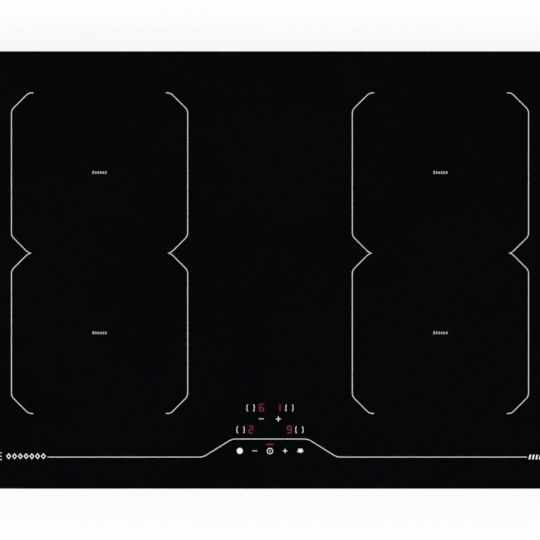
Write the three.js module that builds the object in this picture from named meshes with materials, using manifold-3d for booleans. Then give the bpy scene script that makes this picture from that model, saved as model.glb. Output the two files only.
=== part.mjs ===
// A built-in induction hob with four cooking zones, for a 750 x 490 mm worktop cut-out.
// Millimetres, +Z up, +Y to the rear, origin at the centre of the tray's underside.
import * as THREE from 'three';
import { mergeVertices } from 'three/addons/utils/BufferGeometryUtils.js';
import Module from 'manifold-3d';

const wasm = await Module();
wasm.setup();

// ---------------------------------------------------------------- driving dimensions
const CONTACT = 0.25; // gap left between two pieces that rest on each other
const RUNNING = 0.5; // gap left round a piece that moves or is slid into place
const PAST = 1; // how far a cutting shape runs past the face that it leaves by
const SUNK = 0.5; // how far two shapes of one piece run into each other where they join

const CUTOUT = { width: 750, depth: 490 };
const GLASS = { overlapX: 10, overlapY: 15, thickness: 4, corner: 6, chamfer: 0.75 };
const BUILT_IN_DEPTH = 52; // from the worktop's surface down to the tray's underside
const SEAL = { width: 8, thickness: 1.75, inset: 1.5, corner: 5 };
const TRAY = { sheet: 1, clearance: 5, corner: 4, fold: 2 };
const FRAME = { sheet: 1.5, flange: 10, leg: 12, corner: 3 };

// The two flexible zones on each side share a middle line. The strip in front of them holds the controls.
const ZONE = { width: 210, pitch: 405, frontStrip: 68.5, rearStrip: 28.5 };
const MICA = { thickness: 0.75, margin: 2, corner: 10, window: 12 };
const COIL = { gapX: 14, gapY: 12.5, corner: 60, eyeWidth: 60, eyeDepth: 42, eyeCorner: 18, height: 4 };
const FORMER = { rim: 2, play: 1, floor: 2, hub: 16, bore: 9, seatDrop: 2 };
const FERRITE = { count: 6, inner: 26, inset: 5, width: 12, height: 3.5, wall: 2, roof: 1 };
const SENSOR = { body: 8.5, below: 3, flange: 12, flangeHeight: 1.5, cap: 8 };
const LEAF = { sheet: 0.6, ringInner: 12, ringOuter: 20, root: 3, arm: 8, reach: 58, foot: 10, arms: 3 };
const CARRIER = { sheet: 1.5, height: 36, overhang: 8, corner: 8, leg: 40, foot: 10, window: 14 };

const BOARD = { thickness: 1.6, standoff: 6, boss: 4, inset: 8 };
const POWER_BOARD = { width: 196, frontGap: 29.5, rearGap: 17 };
const FILTER_BOARD = { width: 70, depth: 150, centreX: -46, rearGap: 26 };
const CHOKE = { radius: 20, tube: 7, offsetY: 20 };
const HEATSINK = {
  width: 62, height: 23, base: 4, fin: 1.6, fins: 9, offsetX: 22, frontInset: 32, rearInset: 24,
};

const FAN = { offsetX: -18, fromRear: 107, height: 28, wall: 1.5, inlet: 30, mouth: 58 };
const SCROLL = { tongue: 60, step: 15, clearance: 3.5, growth: 14 };
const IMPELLER = {
  radius: 37, hub: 17, cup: 13.5, cupFloor: 2, cupLift: 3, plate: 1.5, ring: 3, play: 2,
  blades: 16, blade: 1.2, chord: 8, sweep: 25, rimInset: 0.8,
};
const MOTOR = { base: 16, baseHeight: 1.5, stator: 12.5, shaft: 1.5, shaftPlay: 0.25, shaftEnd: 1.5 };
const GRILLE = { radius: 34, slot: 5, pitch: 8.5, bridge: 6 };

const VENT = { slot: 5, pitch: 12, bottom: 12, top: 32, frontCount: 14, rearCount: 7 };
const FLOOR_VENT = { slot: 5, pitch: 14, length: 60, count: 5 };

const TOUCH = { width: 112, depth: 82, fromFront: 52, wall: 2, floor: 2, leg: 8 };
const KEY_PAD = { base: 4.5, tip: 3, sheet: 1, margin: 8, corner: 0.5 };
const DISPLAY = { width: 10, depth: 13, height: 6.5 };
const RIBBON = { width: 14, thickness: 0.8, x: -34 };

const SPRING = {
  sheet: 0.8, width: 30, fromEnd: 90, belly: 8.5, bellyZ: 27, bend: 3, pivotZ: 8, hook: 6, inside: 2,
  topZ: 36, slotBelow: 6, slotAbove: 3, pivotPlay: 1.5,
};
const SCREW = { shank: 2, hole: 2.35, head: 4, headHeight: 2.2, length: 8, point: 1.5, below: 6, fromEnd: 111 };

const TERMINAL = { width: 70, centreX: 46, depth: 79, height: 30, wall: 2 };
const COVER = {
  thickness: 2, recess: 0.4, play: 0.5, side: 3.5, barrel: 2.1, lug: 4, lugHeight: 4, web: 4, rib: 1.5,
  sill: 1,
};
const PIN = { radius: 1.1, hole: 1.35 };
const BLOCK = { width: 56, depth: 22, height: 14, poles: 5, entry: 3.5, screw: 2.8 };
const GROMMET = { bore: 5.5, outer: 9, lip: 2, lipLength: 3, groove: 1.5, z: 15 };

// ---------------------------------------------------------------- places worked out from them
const glassWidth = CUTOUT.width + 2 * GLASS.overlapX;
const glassDepth = CUTOUT.depth + 2 * GLASS.overlapY;
const worktopZ = BUILT_IN_DEPTH;
const glassZ = worktopZ + SEAL.thickness + CONTACT;
const frameTopZ = glassZ - CONTACT;
const flangeZ = frameTopZ - FRAME.sheet;
const trayTopZ = flangeZ - CONTACT;
const floorZ = TRAY.sheet;
const trayWidth = CUTOUT.width - 2 * TRAY.clearance;
const trayDepth = CUTOUT.depth - 2 * TRAY.clearance;
const innerWidth = trayWidth - 2 * TRAY.sheet;
const innerDepth = trayDepth - 2 * TRAY.sheet;
const rearInnerY = innerDepth / 2;
const screwZ = trayTopZ - SCREW.below;
const springY = trayDepth / 2 - SPRING.fromEnd;

const zoneLength = (innerDepth - ZONE.frontStrip - ZONE.rearStrip) / 2;
const zoneMiddleY = (ZONE.frontStrip - ZONE.rearStrip) / 2;
const coilWidth = ZONE.width - COIL.gapX;
const coilDepth = zoneLength - COIL.gapY;
const carrierDepth = 2 * zoneLength + 2 * CARRIER.overhang;
const ferriteOuter = Math.min(coilWidth, coilDepth) / 2 - FERRITE.inset;

const micaZ = glassZ - CONTACT - MICA.thickness;
const formerTopZ = micaZ - CONTACT;
const coilTopZ = formerTopZ - CONTACT;
const coilZ = coilTopZ - COIL.height;
const formerFloorTopZ = coilZ - CONTACT;
const formerFloorZ = formerFloorTopZ - FORMER.floor;
const ferriteBoxZ = formerFloorZ - FERRITE.height - FERRITE.roof;
const hubTopZ = formerTopZ - FORMER.seatDrop;
const carrierTopZ = CARRIER.height + CARRIER.sheet;

const boardZ = floorZ + BOARD.standoff;
const boardTopZ = boardZ + BOARD.thickness;
const fanZ = floorZ + CONTACT;
const fanTopZ = fanZ + FAN.height;
const fanY = rearInnerY - FAN.fromRear;
const powerBoardFront = zoneMiddleY - carrierDepth / 2 + POWER_BOARD.frontGap;
const powerBoardRear = fanY - FAN.mouth - POWER_BOARD.rearGap;
const powerBoardDepth = powerBoardRear - powerBoardFront;
const powerBoardY = (powerBoardFront + powerBoardRear) / 2;
const heatsinkLength = powerBoardDepth - HEATSINK.frontInset - HEATSINK.rearInset;
const heatsinkY = powerBoardY + (HEATSINK.frontInset - HEATSINK.rearInset) / 2;
const filterBoardY = rearInnerY - FILTER_BOARD.rearGap - FILTER_BOARD.depth / 2;

const sides = [['left', -1], ['right', 1]];
const rows = [['front', -1], ['rear', 1]];
const sideX = (side) => side * ZONE.pitch / 2;
const coilY = (row) => zoneMiddleY + row * zoneLength / 2;

const displayZ = glassZ - CONTACT - DISPLAY.height;
const touchBoardZ = displayZ - CONTACT - BOARD.thickness;
const holderZ = touchBoardZ - CONTACT - TOUCH.floor;
const touchY = TOUCH.fromFront - innerDepth / 2;
// Places of the touch keys and of the digit displays, out from the hob's centre line.
const KEY_ROW_Y = touchY - 28;
const FRONT_ROW_Y = touchY - 2.5;
const TIMER_ROW_Y = touchY + 10;
const REAR_ROW_Y = touchY + 23.5;
const KEY_PITCH = 18;
const TIMER_KEY_X = 10.4;
const REAR_KEY_X = 23.3;
const FRONT_KEY_X = 35;
const REAR_DIGIT_X = 10.8;
const FRONT_DIGIT_X = 22.8;
const keyPlaces = [
  ...[-2, -1, 0, 1, 2].map((step) => [step * KEY_PITCH, KEY_ROW_Y]),
  ...[-1, 1].map((side) => [side * TIMER_KEY_X, TIMER_ROW_Y]),
  ...[-1, 1].map((side) => [side * REAR_KEY_X, REAR_ROW_Y]),
  ...[-1, 1].map((side) => [side * FRONT_KEY_X, FRONT_ROW_Y]),
];
const displayPlaces = [
  ['rear', REAR_DIGIT_X, REAR_ROW_Y],
  ['front', FRONT_DIGIT_X, FRONT_ROW_Y],
];

// ---------------------------------------------------------------- materials
const material = (color, roughness, metalness) =>
  new THREE.MeshStandardMaterial({ color, roughness, metalness });
const glassBlack = material(0x050607, 0.06, 0);
const sealGrey = material(0x1c1c1e, 0.9, 0);
const blackSteel = material(0x17181a, 0.45, 0.4);
const zincSteel = material(0xa9adb0, 0.4, 0.9);
const springSteel = material(0xb4b7ba, 0.3, 1);
const aluminium = material(0xc3c6c9, 0.35, 1);
const copper = material(0xb06a3c, 0.4, 1);
const micaGold = material(0xb9a987, 0.6, 0);
const coilPlastic = material(0x2a2b2d, 0.6, 0);
const blackPlastic = material(0x111214, 0.55, 0);
const whitePlastic = material(0xd9d8d2, 0.5, 0);
const boardGreen = material(0x1f5a35, 0.5, 0);
const silicone = material(0x3a3c3f, 0.8, 0);
const rubber = material(0x0d0d0e, 0.85, 0);
const displayRed = material(0x3a0a0c, 0.3, 0);

// ---------------------------------------------------------------- shape helpers
// A three.js geometry as a manifold-3d solid.
function solid(geometry) {
  const bare = geometry.clone();
  bare.deleteAttribute('normal');
  bare.deleteAttribute('uv');
  const merged = mergeVertices(bare);
  return new wasm.Manifold(new wasm.Mesh({
    numProp: 3,
    vertProperties: merged.attributes.position.array,
    triVerts: new Uint32Array(merged.index.array),
  }));
}

// A manifold-3d solid as a three.js geometry.
function geometryOf(made) {
  const mesh = made.getMesh();
  const geometry = new THREE.BufferGeometry();
  geometry.setAttribute('position', new THREE.BufferAttribute(mesh.vertProperties, 3));
  geometry.setIndex(new THREE.BufferAttribute(mesh.triVerts, 1));
  geometry.computeVertexNormals();
  return geometry;
}

const joined = (...geometries) => geometries.map(solid).reduce((a, b) => a.add(b));

// The first geometry with all the others cut out of it.
function cut(body, ...tools) {
  const start = body instanceof THREE.BufferGeometry ? solid(body) : body;
  return tools.length ? start.subtract(joined(...tools)) : start;
}

function roundedRect(width, depth, radius, x = 0, y = 0, Outline = THREE.Shape) {
  const [w, d] = [width / 2 - radius, depth / 2 - radius];
  const outline = new Outline();
  outline.moveTo(x - w, y - d - radius);
  outline.absarc(x + w, y - d, radius, -Math.PI / 2, 0);
  outline.absarc(x + w, y + d, radius, 0, Math.PI / 2);
  outline.absarc(x - w, y + d, radius, Math.PI / 2, Math.PI);
  outline.absarc(x - w, y - d, radius, Math.PI, 1.5 * Math.PI);
  return outline;
}

const circle = (radius, x = 0, y = 0) =>
  new THREE.Path().absarc(x, y, radius, 0, 2 * Math.PI);

// An outline pulled up from z to top.
function slab(shape, z, top, curveSegments = 3) {
  const geometry = new THREE.ExtrudeGeometry(shape, {
    depth: top - z, bevelEnabled: false, curveSegments,
  });
  return geometry.translate(0, 0, z);
}

// The same with a chamfered or rounded edge of the given size at both ends, inside the outline.
function edgedSlab(shape, z, top, edge, bevelSegments, curveSegments = 3) {
  const geometry = new THREE.ExtrudeGeometry(shape, {
    depth: top - z - 2 * edge, curveSegments, bevelSegments,
    bevelSize: edge, bevelThickness: edge, bevelOffset: -edge,
  });
  return geometry.translate(0, 0, z + edge);
}

function box(x0, x1, y0, y1, z0, z1) {
  const geometry = new THREE.BoxGeometry(x1 - x0, y1 - y0, z1 - z0);
  return geometry.translate((x0 + x1) / 2, (y0 + y1) / 2, (z0 + z1) / 2);
}

function rod(radius, z0, z1, x = 0, y = 0, segments = 16) {
  const geometry = new THREE.CylinderGeometry(radius, radius, z1 - z0, segments);
  return geometry.rotateX(Math.PI / 2).translate(x, y, (z0 + z1) / 2);
}

const rodAlongX = (radius, x0, x1, y, z, segments = 12) =>
  rod(radius, x0, x1, 0, 0, segments).rotateY(Math.PI / 2).translate(0, y, z);

const rodAlongY = (radius, y0, y1, x, z, segments = 12) =>
  rod(radius, -y1, -y0, 0, 0, segments).rotateX(Math.PI / 2).translate(x, 0, z);

// A profile of [radius, z] pairs turned round the Z axis. The profile runs upwards.
function turned(profile, segments = 16) {
  const points = profile.map(([r, z]) => new THREE.Vector2(r, z));
  return new THREE.LatheGeometry(points, segments).rotateX(Math.PI / 2);
}

// A strip of sheet that follows a path of [u, v] points, as an outline. It widens to both sides equally.
function stripShape(path, thickness) {
  const points = path.map(([u, v]) => new THREE.Vector2(u, v));
  const side = (sign) => points.map((point, i) => {
    const before = i > 0 ? point.clone().sub(points[i - 1]).normalize() : null;
    const after = i < points.length - 1 ? points[i + 1].clone().sub(point).normalize() : null;
    const along = (before ?? after).clone().add(after ?? before).normalize();
    const mitre = thickness / 2 / Math.abs(along.dot(after ?? before));
    return new THREE.Vector2(-along.y, along.x).multiplyScalar(sign * mitre).add(point);
  });
  return new THREE.Shape([...side(-1), ...side(1).reverse()]);
}

// An outline in the XZ plane pulled along Y, centred on y.
const slabAlongY = (shape, width, y = 0) =>
  slab(shape, -width / 2, width / 2).rotateX(Math.PI / 2).translate(0, y, 0);

// An outline whose first axis is Y and second is Z, pulled along X, centred on x.
const slabAlongX = (shape, width, x = 0) =>
  slab(shape, -width / 2, width / 2)
    .applyMatrix4(new THREE.Matrix4().set(0, 0, 1, 0, 1, 0, 0, 0, 0, 1, 0, 0, 0, 0, 0, 1))
    .translate(x, 0, 0);

// Equally spaced places, centred on zero.
const spaced = (count, pitch) =>
  Array.from({ length: count }, (_, i) => (i - (count - 1) / 2) * pitch);

// ---------------------------------------------------------------- glass, seal and frame
const glassTop = () => edgedSlab(
  roundedRect(glassWidth, glassDepth, GLASS.corner), glassZ, glassZ + GLASS.thickness, GLASS.chamfer, 1,
);

function rimSeal() {
  const [width, depth] = [glassWidth - 2 * SEAL.inset, glassDepth - 2 * SEAL.inset];
  const outline = roundedRect(width, depth, SEAL.corner);
  const inside = 2 * SEAL.width;
  outline.holes.push(roundedRect(width - inside, depth - inside, 1, 0, 0, THREE.Path));
  return slab(outline, worktopZ, worktopZ + SEAL.thickness);
}

// Where the tray's screws go in: two through each long wall and one through each end wall.
const screwPlaces = [
  ...[-1, 1].flatMap((end) => [-1, 1].map((side) => ({
    x: side * (trayWidth / 2 - SCREW.fromEnd), y: end * trayDepth / 2, along: 'y', out: end,
  }))),
  ...[-1, 1].map((side) => ({ x: side * trayWidth / 2, y: 0, along: 'x', out: side })),
];

// The holes that the tray screws pass through, in the tray's wall and in the frame's leg.
const screwHoles = () => screwPlaces.map(({ x, y, along, out }) => {
  const [from, to] = [out * PAST, -out * (SCREW.length + PAST)].sort((a, b) => a - b);
  return along === 'y'
    ? rodAlongY(SCREW.hole, y + from, y + to, x, screwZ, 8)
    : rodAlongX(SCREW.hole, x + from, x + to, y, screwZ, 8);
});

function glassFrame() {
  const flange = roundedRect(trayWidth, trayDepth, TRAY.corner);
  const [inner, corner] = [2 * FRAME.flange, FRAME.corner];
  flange.holes.push(roundedRect(trayWidth - inner, trayDepth - inner, corner, 0, 0, THREE.Path));
  const [width, depth] = [innerWidth - 2 * CONTACT, innerDepth - 2 * CONTACT];
  const leg = roundedRect(width, depth, corner);
  const sheet = 2 * FRAME.sheet;
  leg.holes.push(roundedRect(width - sheet, depth - sheet, corner - FRAME.sheet, 0, 0, THREE.Path));
  const whole = joined(slab(flange, flangeZ, frameTopZ), slab(leg, flangeZ - FRAME.leg, flangeZ + SUNK));
  return geometryOf(cut(whole, ...screwHoles()));
}

// ---------------------------------------------------------------- the tray
const boardBosses = (centreX, centreY, width, depth) =>
  [-1, 1].flatMap((sx) => [-1, 1].map((sy) => rod(
    BOARD.boss, floorZ - SUNK, boardZ - CONTACT,
    centreX + sx * (width / 2 - BOARD.inset), centreY + sy * (depth / 2 - BOARD.inset), 8,
  )));

// Slots across a round inlet, left open on both sides of a bridge.
function grilleSlots(x, y) {
  const reach = GRILLE.radius;
  return spaced(Math.floor(2 * reach / GRILLE.pitch), GRILLE.pitch).flatMap((offset) => {
    const half = Math.sqrt(reach * reach - offset * offset);
    return [-1, 1].map((side) => {
      const [a, b] = [side * GRILLE.bridge / 2, side * half].sort((p, q) => p - q);
      const [x0, x1] = [x + offset - GRILLE.slot / 2, x + offset + GRILLE.slot / 2];
      return box(x0, x1, y + a, y + b, -PAST, floorZ + PAST);
    });
  });
}

const wallSlots = (x, y, count) => spaced(count, VENT.pitch).map((offset) => box(
  x + offset - VENT.slot / 2, x + offset + VENT.slot / 2,
  y - TRAY.fold, y + TRAY.fold, VENT.bottom, VENT.top,
));

const floorSlots = (x, y) => spaced(FLOOR_VENT.count, FLOOR_VENT.pitch).map((offset) => box(
  x + offset - FLOOR_VENT.slot / 2, x + offset + FLOOR_VENT.slot / 2,
  y - FLOOR_VENT.length / 2, y + FLOOR_VENT.length / 2, -PAST, floorZ + PAST,
));

// Wall openings for one side spring: a low one that its hook sits in, and a tall one for its free end.
function springSlots(side, y) {
  const [x0, x1] = [innerWidth / 2 - PAST, trayWidth / 2 + PAST].map((x) => side * x).sort((a, b) => a - b);
  const half = SPRING.width / 2 + RUNNING;
  const sheet = SPRING.sheet / 2;
  return [
    box(x0, x1, y - half, y + half, SPRING.pivotZ - sheet - CONTACT, SPRING.pivotZ + sheet + SPRING.pivotPlay),
    box(x0, x1, y - half, y + half, SPRING.topZ - SPRING.slotBelow, SPRING.topZ + SPRING.slotAbove),
  ];
}

const terminalHalf = TERMINAL.width / 2;
const coverHalf = terminalHalf - COVER.side;
const terminalFront = rearInnerY - TERMINAL.depth;
const hingeY = terminalFront + TERMINAL.wall + COVER.barrel + 2 * COVER.play;
const hingeZ = COVER.recess + COVER.barrel;
const openingRearY = rearInnerY - COVER.sill;

function baseTray() {
  const outer = roundedRect(trayWidth, trayDepth, TRAY.corner);
  const inner = roundedRect(innerWidth, innerDepth, TRAY.corner - TRAY.sheet);
  const shell = edgedSlab(outer, 0, trayTopZ + 2 * TRAY.fold, TRAY.fold, 3);
  const hollow = edgedSlab(inner, floorZ, trayTopZ + 3 * TRAY.fold, TRAY.fold - TRAY.sheet, 2);
  const above = box(-trayWidth, trayWidth, -trayDepth, trayDepth, trayTopZ, trayTopZ + 4 * TRAY.fold);
  const bosses = [
    ...boardBosses(FILTER_BOARD.centreX, filterBoardY, FILTER_BOARD.width, FILTER_BOARD.depth),
    ...sides.flatMap(([, side]) =>
      boardBosses(sideX(side), powerBoardY, POWER_BOARD.width, powerBoardDepth)),
  ];
  const vents = sides.flatMap(([, side]) => [
    ...grilleSlots(sideX(side) + FAN.offsetX, fanY),
    ...floorSlots(sideX(side) + HEATSINK.offsetX, heatsinkY),
    ...wallSlots(sideX(side), -trayDepth / 2, VENT.frontCount),
    ...wallSlots(sideX(side), trayDepth / 2, VENT.rearCount),
  ]);
  const springs = sides.flatMap(([, side]) => rows.flatMap(([, row]) => springSlots(side, row * springY)));
  const x = TERMINAL.centreX;
  const opening = box(
    x - coverHalf - COVER.play, x + coverHalf + COVER.play,
    hingeY - COVER.barrel - COVER.play, openingRearY, -PAST, floorZ + PAST,
  );
  const cable = rodAlongY(
    GROMMET.outer - GROMMET.lip + CONTACT, rearInnerY - PAST, trayDepth / 2 + PAST, x, GROMMET.z,
  );
  return geometryOf(cut(
    cut(shell, hollow, above).add(joined(...bosses)), ...vents, ...springs, ...screwHoles(), opening, cable,
  ));
}

function trayScrew() {
  const { shank, head, headHeight, length, point } = SCREW;
  return turned([
    [0, -length], [shank * 0.5, -length], [shank, -length + point], [shank, CONTACT],
    [head, CONTACT], [head, CONTACT + headHeight * 0.4], [head * 0.7, CONTACT + headHeight * 0.9],
    [0, CONTACT + headHeight],
  ], 8);
}

// ---------------------------------------------------------------- coils
const coilOutline = (grow = 0, Outline = THREE.Shape) =>
  roundedRect(coilWidth + 2 * grow, coilDepth + 2 * grow, COIL.corner + grow, 0, 0, Outline);

function coilWinding() {
  const ring = coilOutline();
  ring.holes.push(roundedRect(COIL.eyeWidth, COIL.eyeDepth, COIL.eyeCorner, 0, 0, THREE.Path));
  return slab(ring, coilZ, coilTopZ);
}

// A round-cornered dish with a hub, on radial channels that hold the ferrite bars from below.
function coilFormer() {
  const wall = coilOutline(FORMER.play + FORMER.rim);
  wall.holes.push(coilOutline(FORMER.play, THREE.Path));
  const angles = Array.from({ length: FERRITE.count }, (_, i) => i * 2 * Math.PI / FERRITE.count);
  const bar = (inner, outer, width, z0, z1) => (angle) =>
    box(inner, outer, -width / 2, width / 2, z0, z1).rotateZ(angle);
  const channels = angles.map(bar(
    FERRITE.inner - FERRITE.wall, ferriteOuter + FERRITE.wall, FERRITE.width + 2 * FERRITE.wall,
    ferriteBoxZ, formerFloorZ + SUNK,
  ));
  const pockets = angles.map(bar(
    FERRITE.inner, ferriteOuter, FERRITE.width, ferriteBoxZ - PAST, ferriteBoxZ + FERRITE.height,
  ));
  const body = joined(
    slab(coilOutline(FORMER.play + FORMER.rim), formerFloorZ, formerFloorTopZ),
    slab(wall, formerFloorTopZ - SUNK, formerTopZ),
    rod(FORMER.hub, formerFloorZ, hubTopZ),
    ...channels,
  );
  return geometryOf(cut(body, ...pockets, rod(FORMER.bore, 0, glassZ)));
}

function tempSensor() {
  const seat = hubTopZ + CONTACT;
  return turned([
    [0, formerFloorZ - SENSOR.below], [SENSOR.body, formerFloorZ - SENSOR.below], [SENSOR.body, seat],
    [SENSOR.flange, seat], [SENSOR.flange, seat + SENSOR.flangeHeight],
    [SENSOR.cap, seat + SENSOR.flangeHeight], [SENSOR.cap, glassZ - CONTACT], [0, glassZ - CONTACT],
  ]);
}

// A flat ring with three sprung arms that stand on the carrier.
function coilSpring() {
  const top = formerFloorZ - CONTACT;
  const ring = new THREE.Shape().absarc(0, 0, LEAF.ringOuter, 0, 2 * Math.PI);
  ring.holes.push(circle(LEAF.ringInner));
  const [high, low] = [top - LEAF.sheet / 2, carrierTopZ + CONTACT + LEAF.sheet / 2];
  const profile = stripShape([
    [LEAF.ringOuter - LEAF.root, high], [LEAF.ringOuter + LEAF.root, high],
    [LEAF.reach, low], [LEAF.reach + LEAF.foot, low],
  ], LEAF.sheet);
  const arms = Array.from({ length: LEAF.arms }, (_, i) =>
    slabAlongY(profile, LEAF.arm).rotateZ(Math.PI / 6 + i * 2 * Math.PI / LEAF.arms));
  return geometryOf(joined(slab(ring, top - LEAF.sheet, top, 6), ...arms));
}

function micaSheet() {
  const sheet = roundedRect(ZONE.width + 2 * MICA.margin, 2 * zoneLength + 2 * MICA.margin, MICA.corner);
  for (const [, row] of rows) sheet.holes.push(circle(MICA.window, 0, row * zoneLength / 2));
  return slab(sheet, micaZ, micaZ + MICA.thickness);
}

// The aluminium sheet under the two coils of a side, on four folded legs.
function coilCarrier() {
  const width = ZONE.width + 2 * CARRIER.overhang;
  const top = roundedRect(width, carrierDepth, CARRIER.corner);
  for (const [, row] of rows) top.holes.push(circle(CARRIER.window, 0, row * zoneLength / 2));
  const legs = [-1, 1].flatMap((sx) => [-1, 1].map((sy) => {
    const far = carrierDepth / 2;
    const [near, foot] = [far - CARRIER.sheet, far + CARRIER.foot];
    const profile = new THREE.Shape([
      [near, CARRIER.height + SUNK], [far, CARRIER.height + SUNK], [far, floorZ + CONTACT + CARRIER.sheet],
      [foot, floorZ + CONTACT + CARRIER.sheet], [foot, floorZ + CONTACT], [near, floorZ + CONTACT],
    ].map(([y, z]) => new THREE.Vector2(y, z)));
    const x = sx * (width / 2 - CARRIER.corner - CARRIER.leg / 2);
    const leg = slabAlongX(profile, CARRIER.leg, x);
    return sy > 0 ? leg : leg.rotateZ(Math.PI);
  }));
  return geometryOf(joined(slab(top, CARRIER.height, carrierTopZ), ...legs));
}

// ---------------------------------------------------------------- boards and cooling
const board = (width, depth) => slab(roundedRect(width, depth, 3), boardZ, boardTopZ, 2);

function heatsink() {
  const { width, base, fin, fins, height } = HEATSINK;
  const low = boardTopZ + CONTACT;
  const pitch = (width - fin) / (fins - 1);
  const comb = [[-width / 2, low], [width / 2, low]];
  for (const x of spaced(fins, pitch).reverse()) {
    comb.push([x + fin / 2, low + base], [x + fin / 2, low + height]);
    comb.push([x - fin / 2, low + height], [x - fin / 2, low + base]);
  }
  const outline = new THREE.Shape(comb.map(([x, z]) => new THREE.Vector2(x, z)));
  return slabAlongY(outline, heatsinkLength);
}

// The fan's scroll, wider by grow: it opens clockwise from its tongue to a mouth that faces the front.
function scrollOutline(grow, mouth) {
  const start = IMPELLER.radius + SCROLL.clearance;
  const turn = 360 - SCROLL.tongue;
  const tongueX = start * Math.cos(THREE.MathUtils.degToRad(SCROLL.tongue)) - grow;
  const points = [];
  for (let swept = grow ? SCROLL.step : 0; swept <= turn; swept += SCROLL.step) {
    const angle = THREE.MathUtils.degToRad(-SCROLL.tongue - swept);
    const radius = start + grow + SCROLL.growth * swept / turn;
    points.push(new THREE.Vector2(radius * Math.cos(angle), radius * Math.sin(angle)));
  }
  const outerX = points[points.length - 1].x;
  points.push(new THREE.Vector2(outerX, -mouth), new THREE.Vector2(tongueX, -mouth));
  if (grow) points.push(new THREE.Vector2(tongueX, -Math.sqrt((start + grow) ** 2 - tongueX ** 2)));
  return new THREE.Shape(points);
}

const fanHousing = () => geometryOf(cut(
  slab(scrollOutline(FAN.wall, FAN.mouth), fanZ, fanTopZ),
  slab(scrollOutline(0, FAN.mouth + PAST), fanZ + FAN.wall, fanTopZ - FAN.wall),
  rod(FAN.inlet, fanZ - PAST, fanZ + FAN.wall + SUNK),
));

const motorTopZ = fanTopZ - FAN.wall - CONTACT;
const plateTopZ = motorTopZ - MOTOR.baseHeight - RUNNING;
const bladeZ = fanZ + FAN.wall + IMPELLER.play;
const cupZ = bladeZ + IMPELLER.cupLift;
const statorZ = cupZ + IMPELLER.cupFloor + RUNNING;

const fanMotor = () => turned([
  [0, cupZ - MOTOR.shaftEnd], [MOTOR.shaft, cupZ - MOTOR.shaftEnd],
  [MOTOR.shaft, statorZ], [MOTOR.stator, statorZ],
  [MOTOR.stator, motorTopZ - MOTOR.baseHeight], [MOTOR.base, motorTopZ - MOTOR.baseHeight],
  [MOTOR.base, motorTopZ], [0, motorTopZ],
]);

// A cup that turns on the motor's shaft, with a back plate, curved-back blades and a ring that ties them.
function fanImpeller() {
  const { radius, hub, cup, cupFloor, plate, blades, blade, chord, sweep } = IMPELLER;
  const bore = MOTOR.shaft + MOTOR.shaftPlay;
  const body = turned([
    [bore, cupZ], [hub, cupZ], [hub, plateTopZ - plate], [radius, plateTopZ - plate],
    [radius, plateTopZ], [cup, plateTopZ], [cup, cupZ + cupFloor], [bore, cupZ + cupFloor], [bore, cupZ],
  ], 24);
  const ring = new THREE.Shape().absarc(0, 0, radius, 0, 2 * Math.PI);
  ring.holes.push(circle(radius - IMPELLER.ring));
  const vanes = Array.from({ length: blades }, (_, i) =>
    box(-chord, 0, -blade / 2, blade / 2, bladeZ, plateTopZ - plate / 2)
      .rotateZ(THREE.MathUtils.degToRad(sweep))
      .translate(radius - IMPELLER.rimInset, 0, 0)
      .rotateZ(i * 2 * Math.PI / blades));
  return geometryOf(joined(body, slab(ring, bladeZ, bladeZ + plate, 12), ...vanes));
}

function filterChoke() {
  const ring = Array.from({ length: 9 }, (_, i) => {
    const angle = i * Math.PI / 4 - Math.PI / 8;
    return [CHOKE.radius + CHOKE.tube * Math.cos(angle), CHOKE.tube * Math.sin(angle)];
  });
  const flat = CHOKE.tube * Math.sin(Math.PI / 2 - Math.PI / 8);
  return turned(ring).translate(0, 0, boardTopZ + CONTACT + flat);
}

// ---------------------------------------------------------------- touch control
const touchBoard = () => slab(
  roundedRect(TOUCH.width, TOUCH.depth, 3, 0, touchY), touchBoardZ, touchBoardZ + BOARD.thickness, 2,
);

// A shallow plastic dish on four legs that holds the touch board up against the glass.
function touchBoardHolder() {
  const [width, depth] = [TOUCH.width + 2 * CONTACT, TOUCH.depth + 2 * CONTACT];
  const outer = roundedRect(width + 2 * TOUCH.wall, depth + 2 * TOUCH.wall, 5, 0, touchY);
  const inner = roundedRect(width, depth, 3, 0, touchY);
  const legs = [-1, 1].flatMap((sx) => [-1, 1].map((sy) => {
    const [x, y] = [sx * (width / 2 - TOUCH.leg), touchY + sy * (depth / 2 - TOUCH.leg)];
    const half = TOUCH.leg / 2;
    return box(x - half, x + half, y - half, y + half, floorZ + CONTACT, holderZ + SUNK);
  }));
  const dish = cut(
    slab(outer, holderZ, flangeZ - RUNNING, 2), slab(inner, holderZ + TOUCH.floor, glassZ, 2),
  );
  return geometryOf(dish.add(joined(...legs)));
}

// A silicone mat with a pad under each key, and a window round each display.
function keyContactMat() {
  const z = touchBoardZ + BOARD.thickness + CONTACT;
  const { margin, corner } = KEY_PAD;
  const sheet = roundedRect(TOUCH.width - 2 * margin, TOUCH.depth - margin, 3, 0, touchY);
  for (const [, x, y] of displayPlaces) {
    for (const [, side] of sides) {
      const window = [DISPLAY.width + 2 * RUNNING, DISPLAY.depth + 2 * RUNNING, corner];
      sheet.holes.push(roundedRect(...window, side * x, y, THREE.Path));
    }
  }
  const pads = keyPlaces.map(([x, y]) => {
    const height = glassZ - CONTACT - z - KEY_PAD.sheet / 2;
    const cone = new THREE.CylinderGeometry(KEY_PAD.tip, KEY_PAD.base, height, 8);
    return cone.rotateX(Math.PI / 2).translate(x, y, z + KEY_PAD.sheet / 2 + height / 2);
  });
  return geometryOf(joined(slab(sheet, z, z + KEY_PAD.sheet, 1), ...pads));
}

const display = () => box(
  -DISPLAY.width / 2, DISPLAY.width / 2, -DISPLAY.depth / 2, DISPLAY.depth / 2,
  displayZ, displayZ + DISPLAY.height,
);

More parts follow.
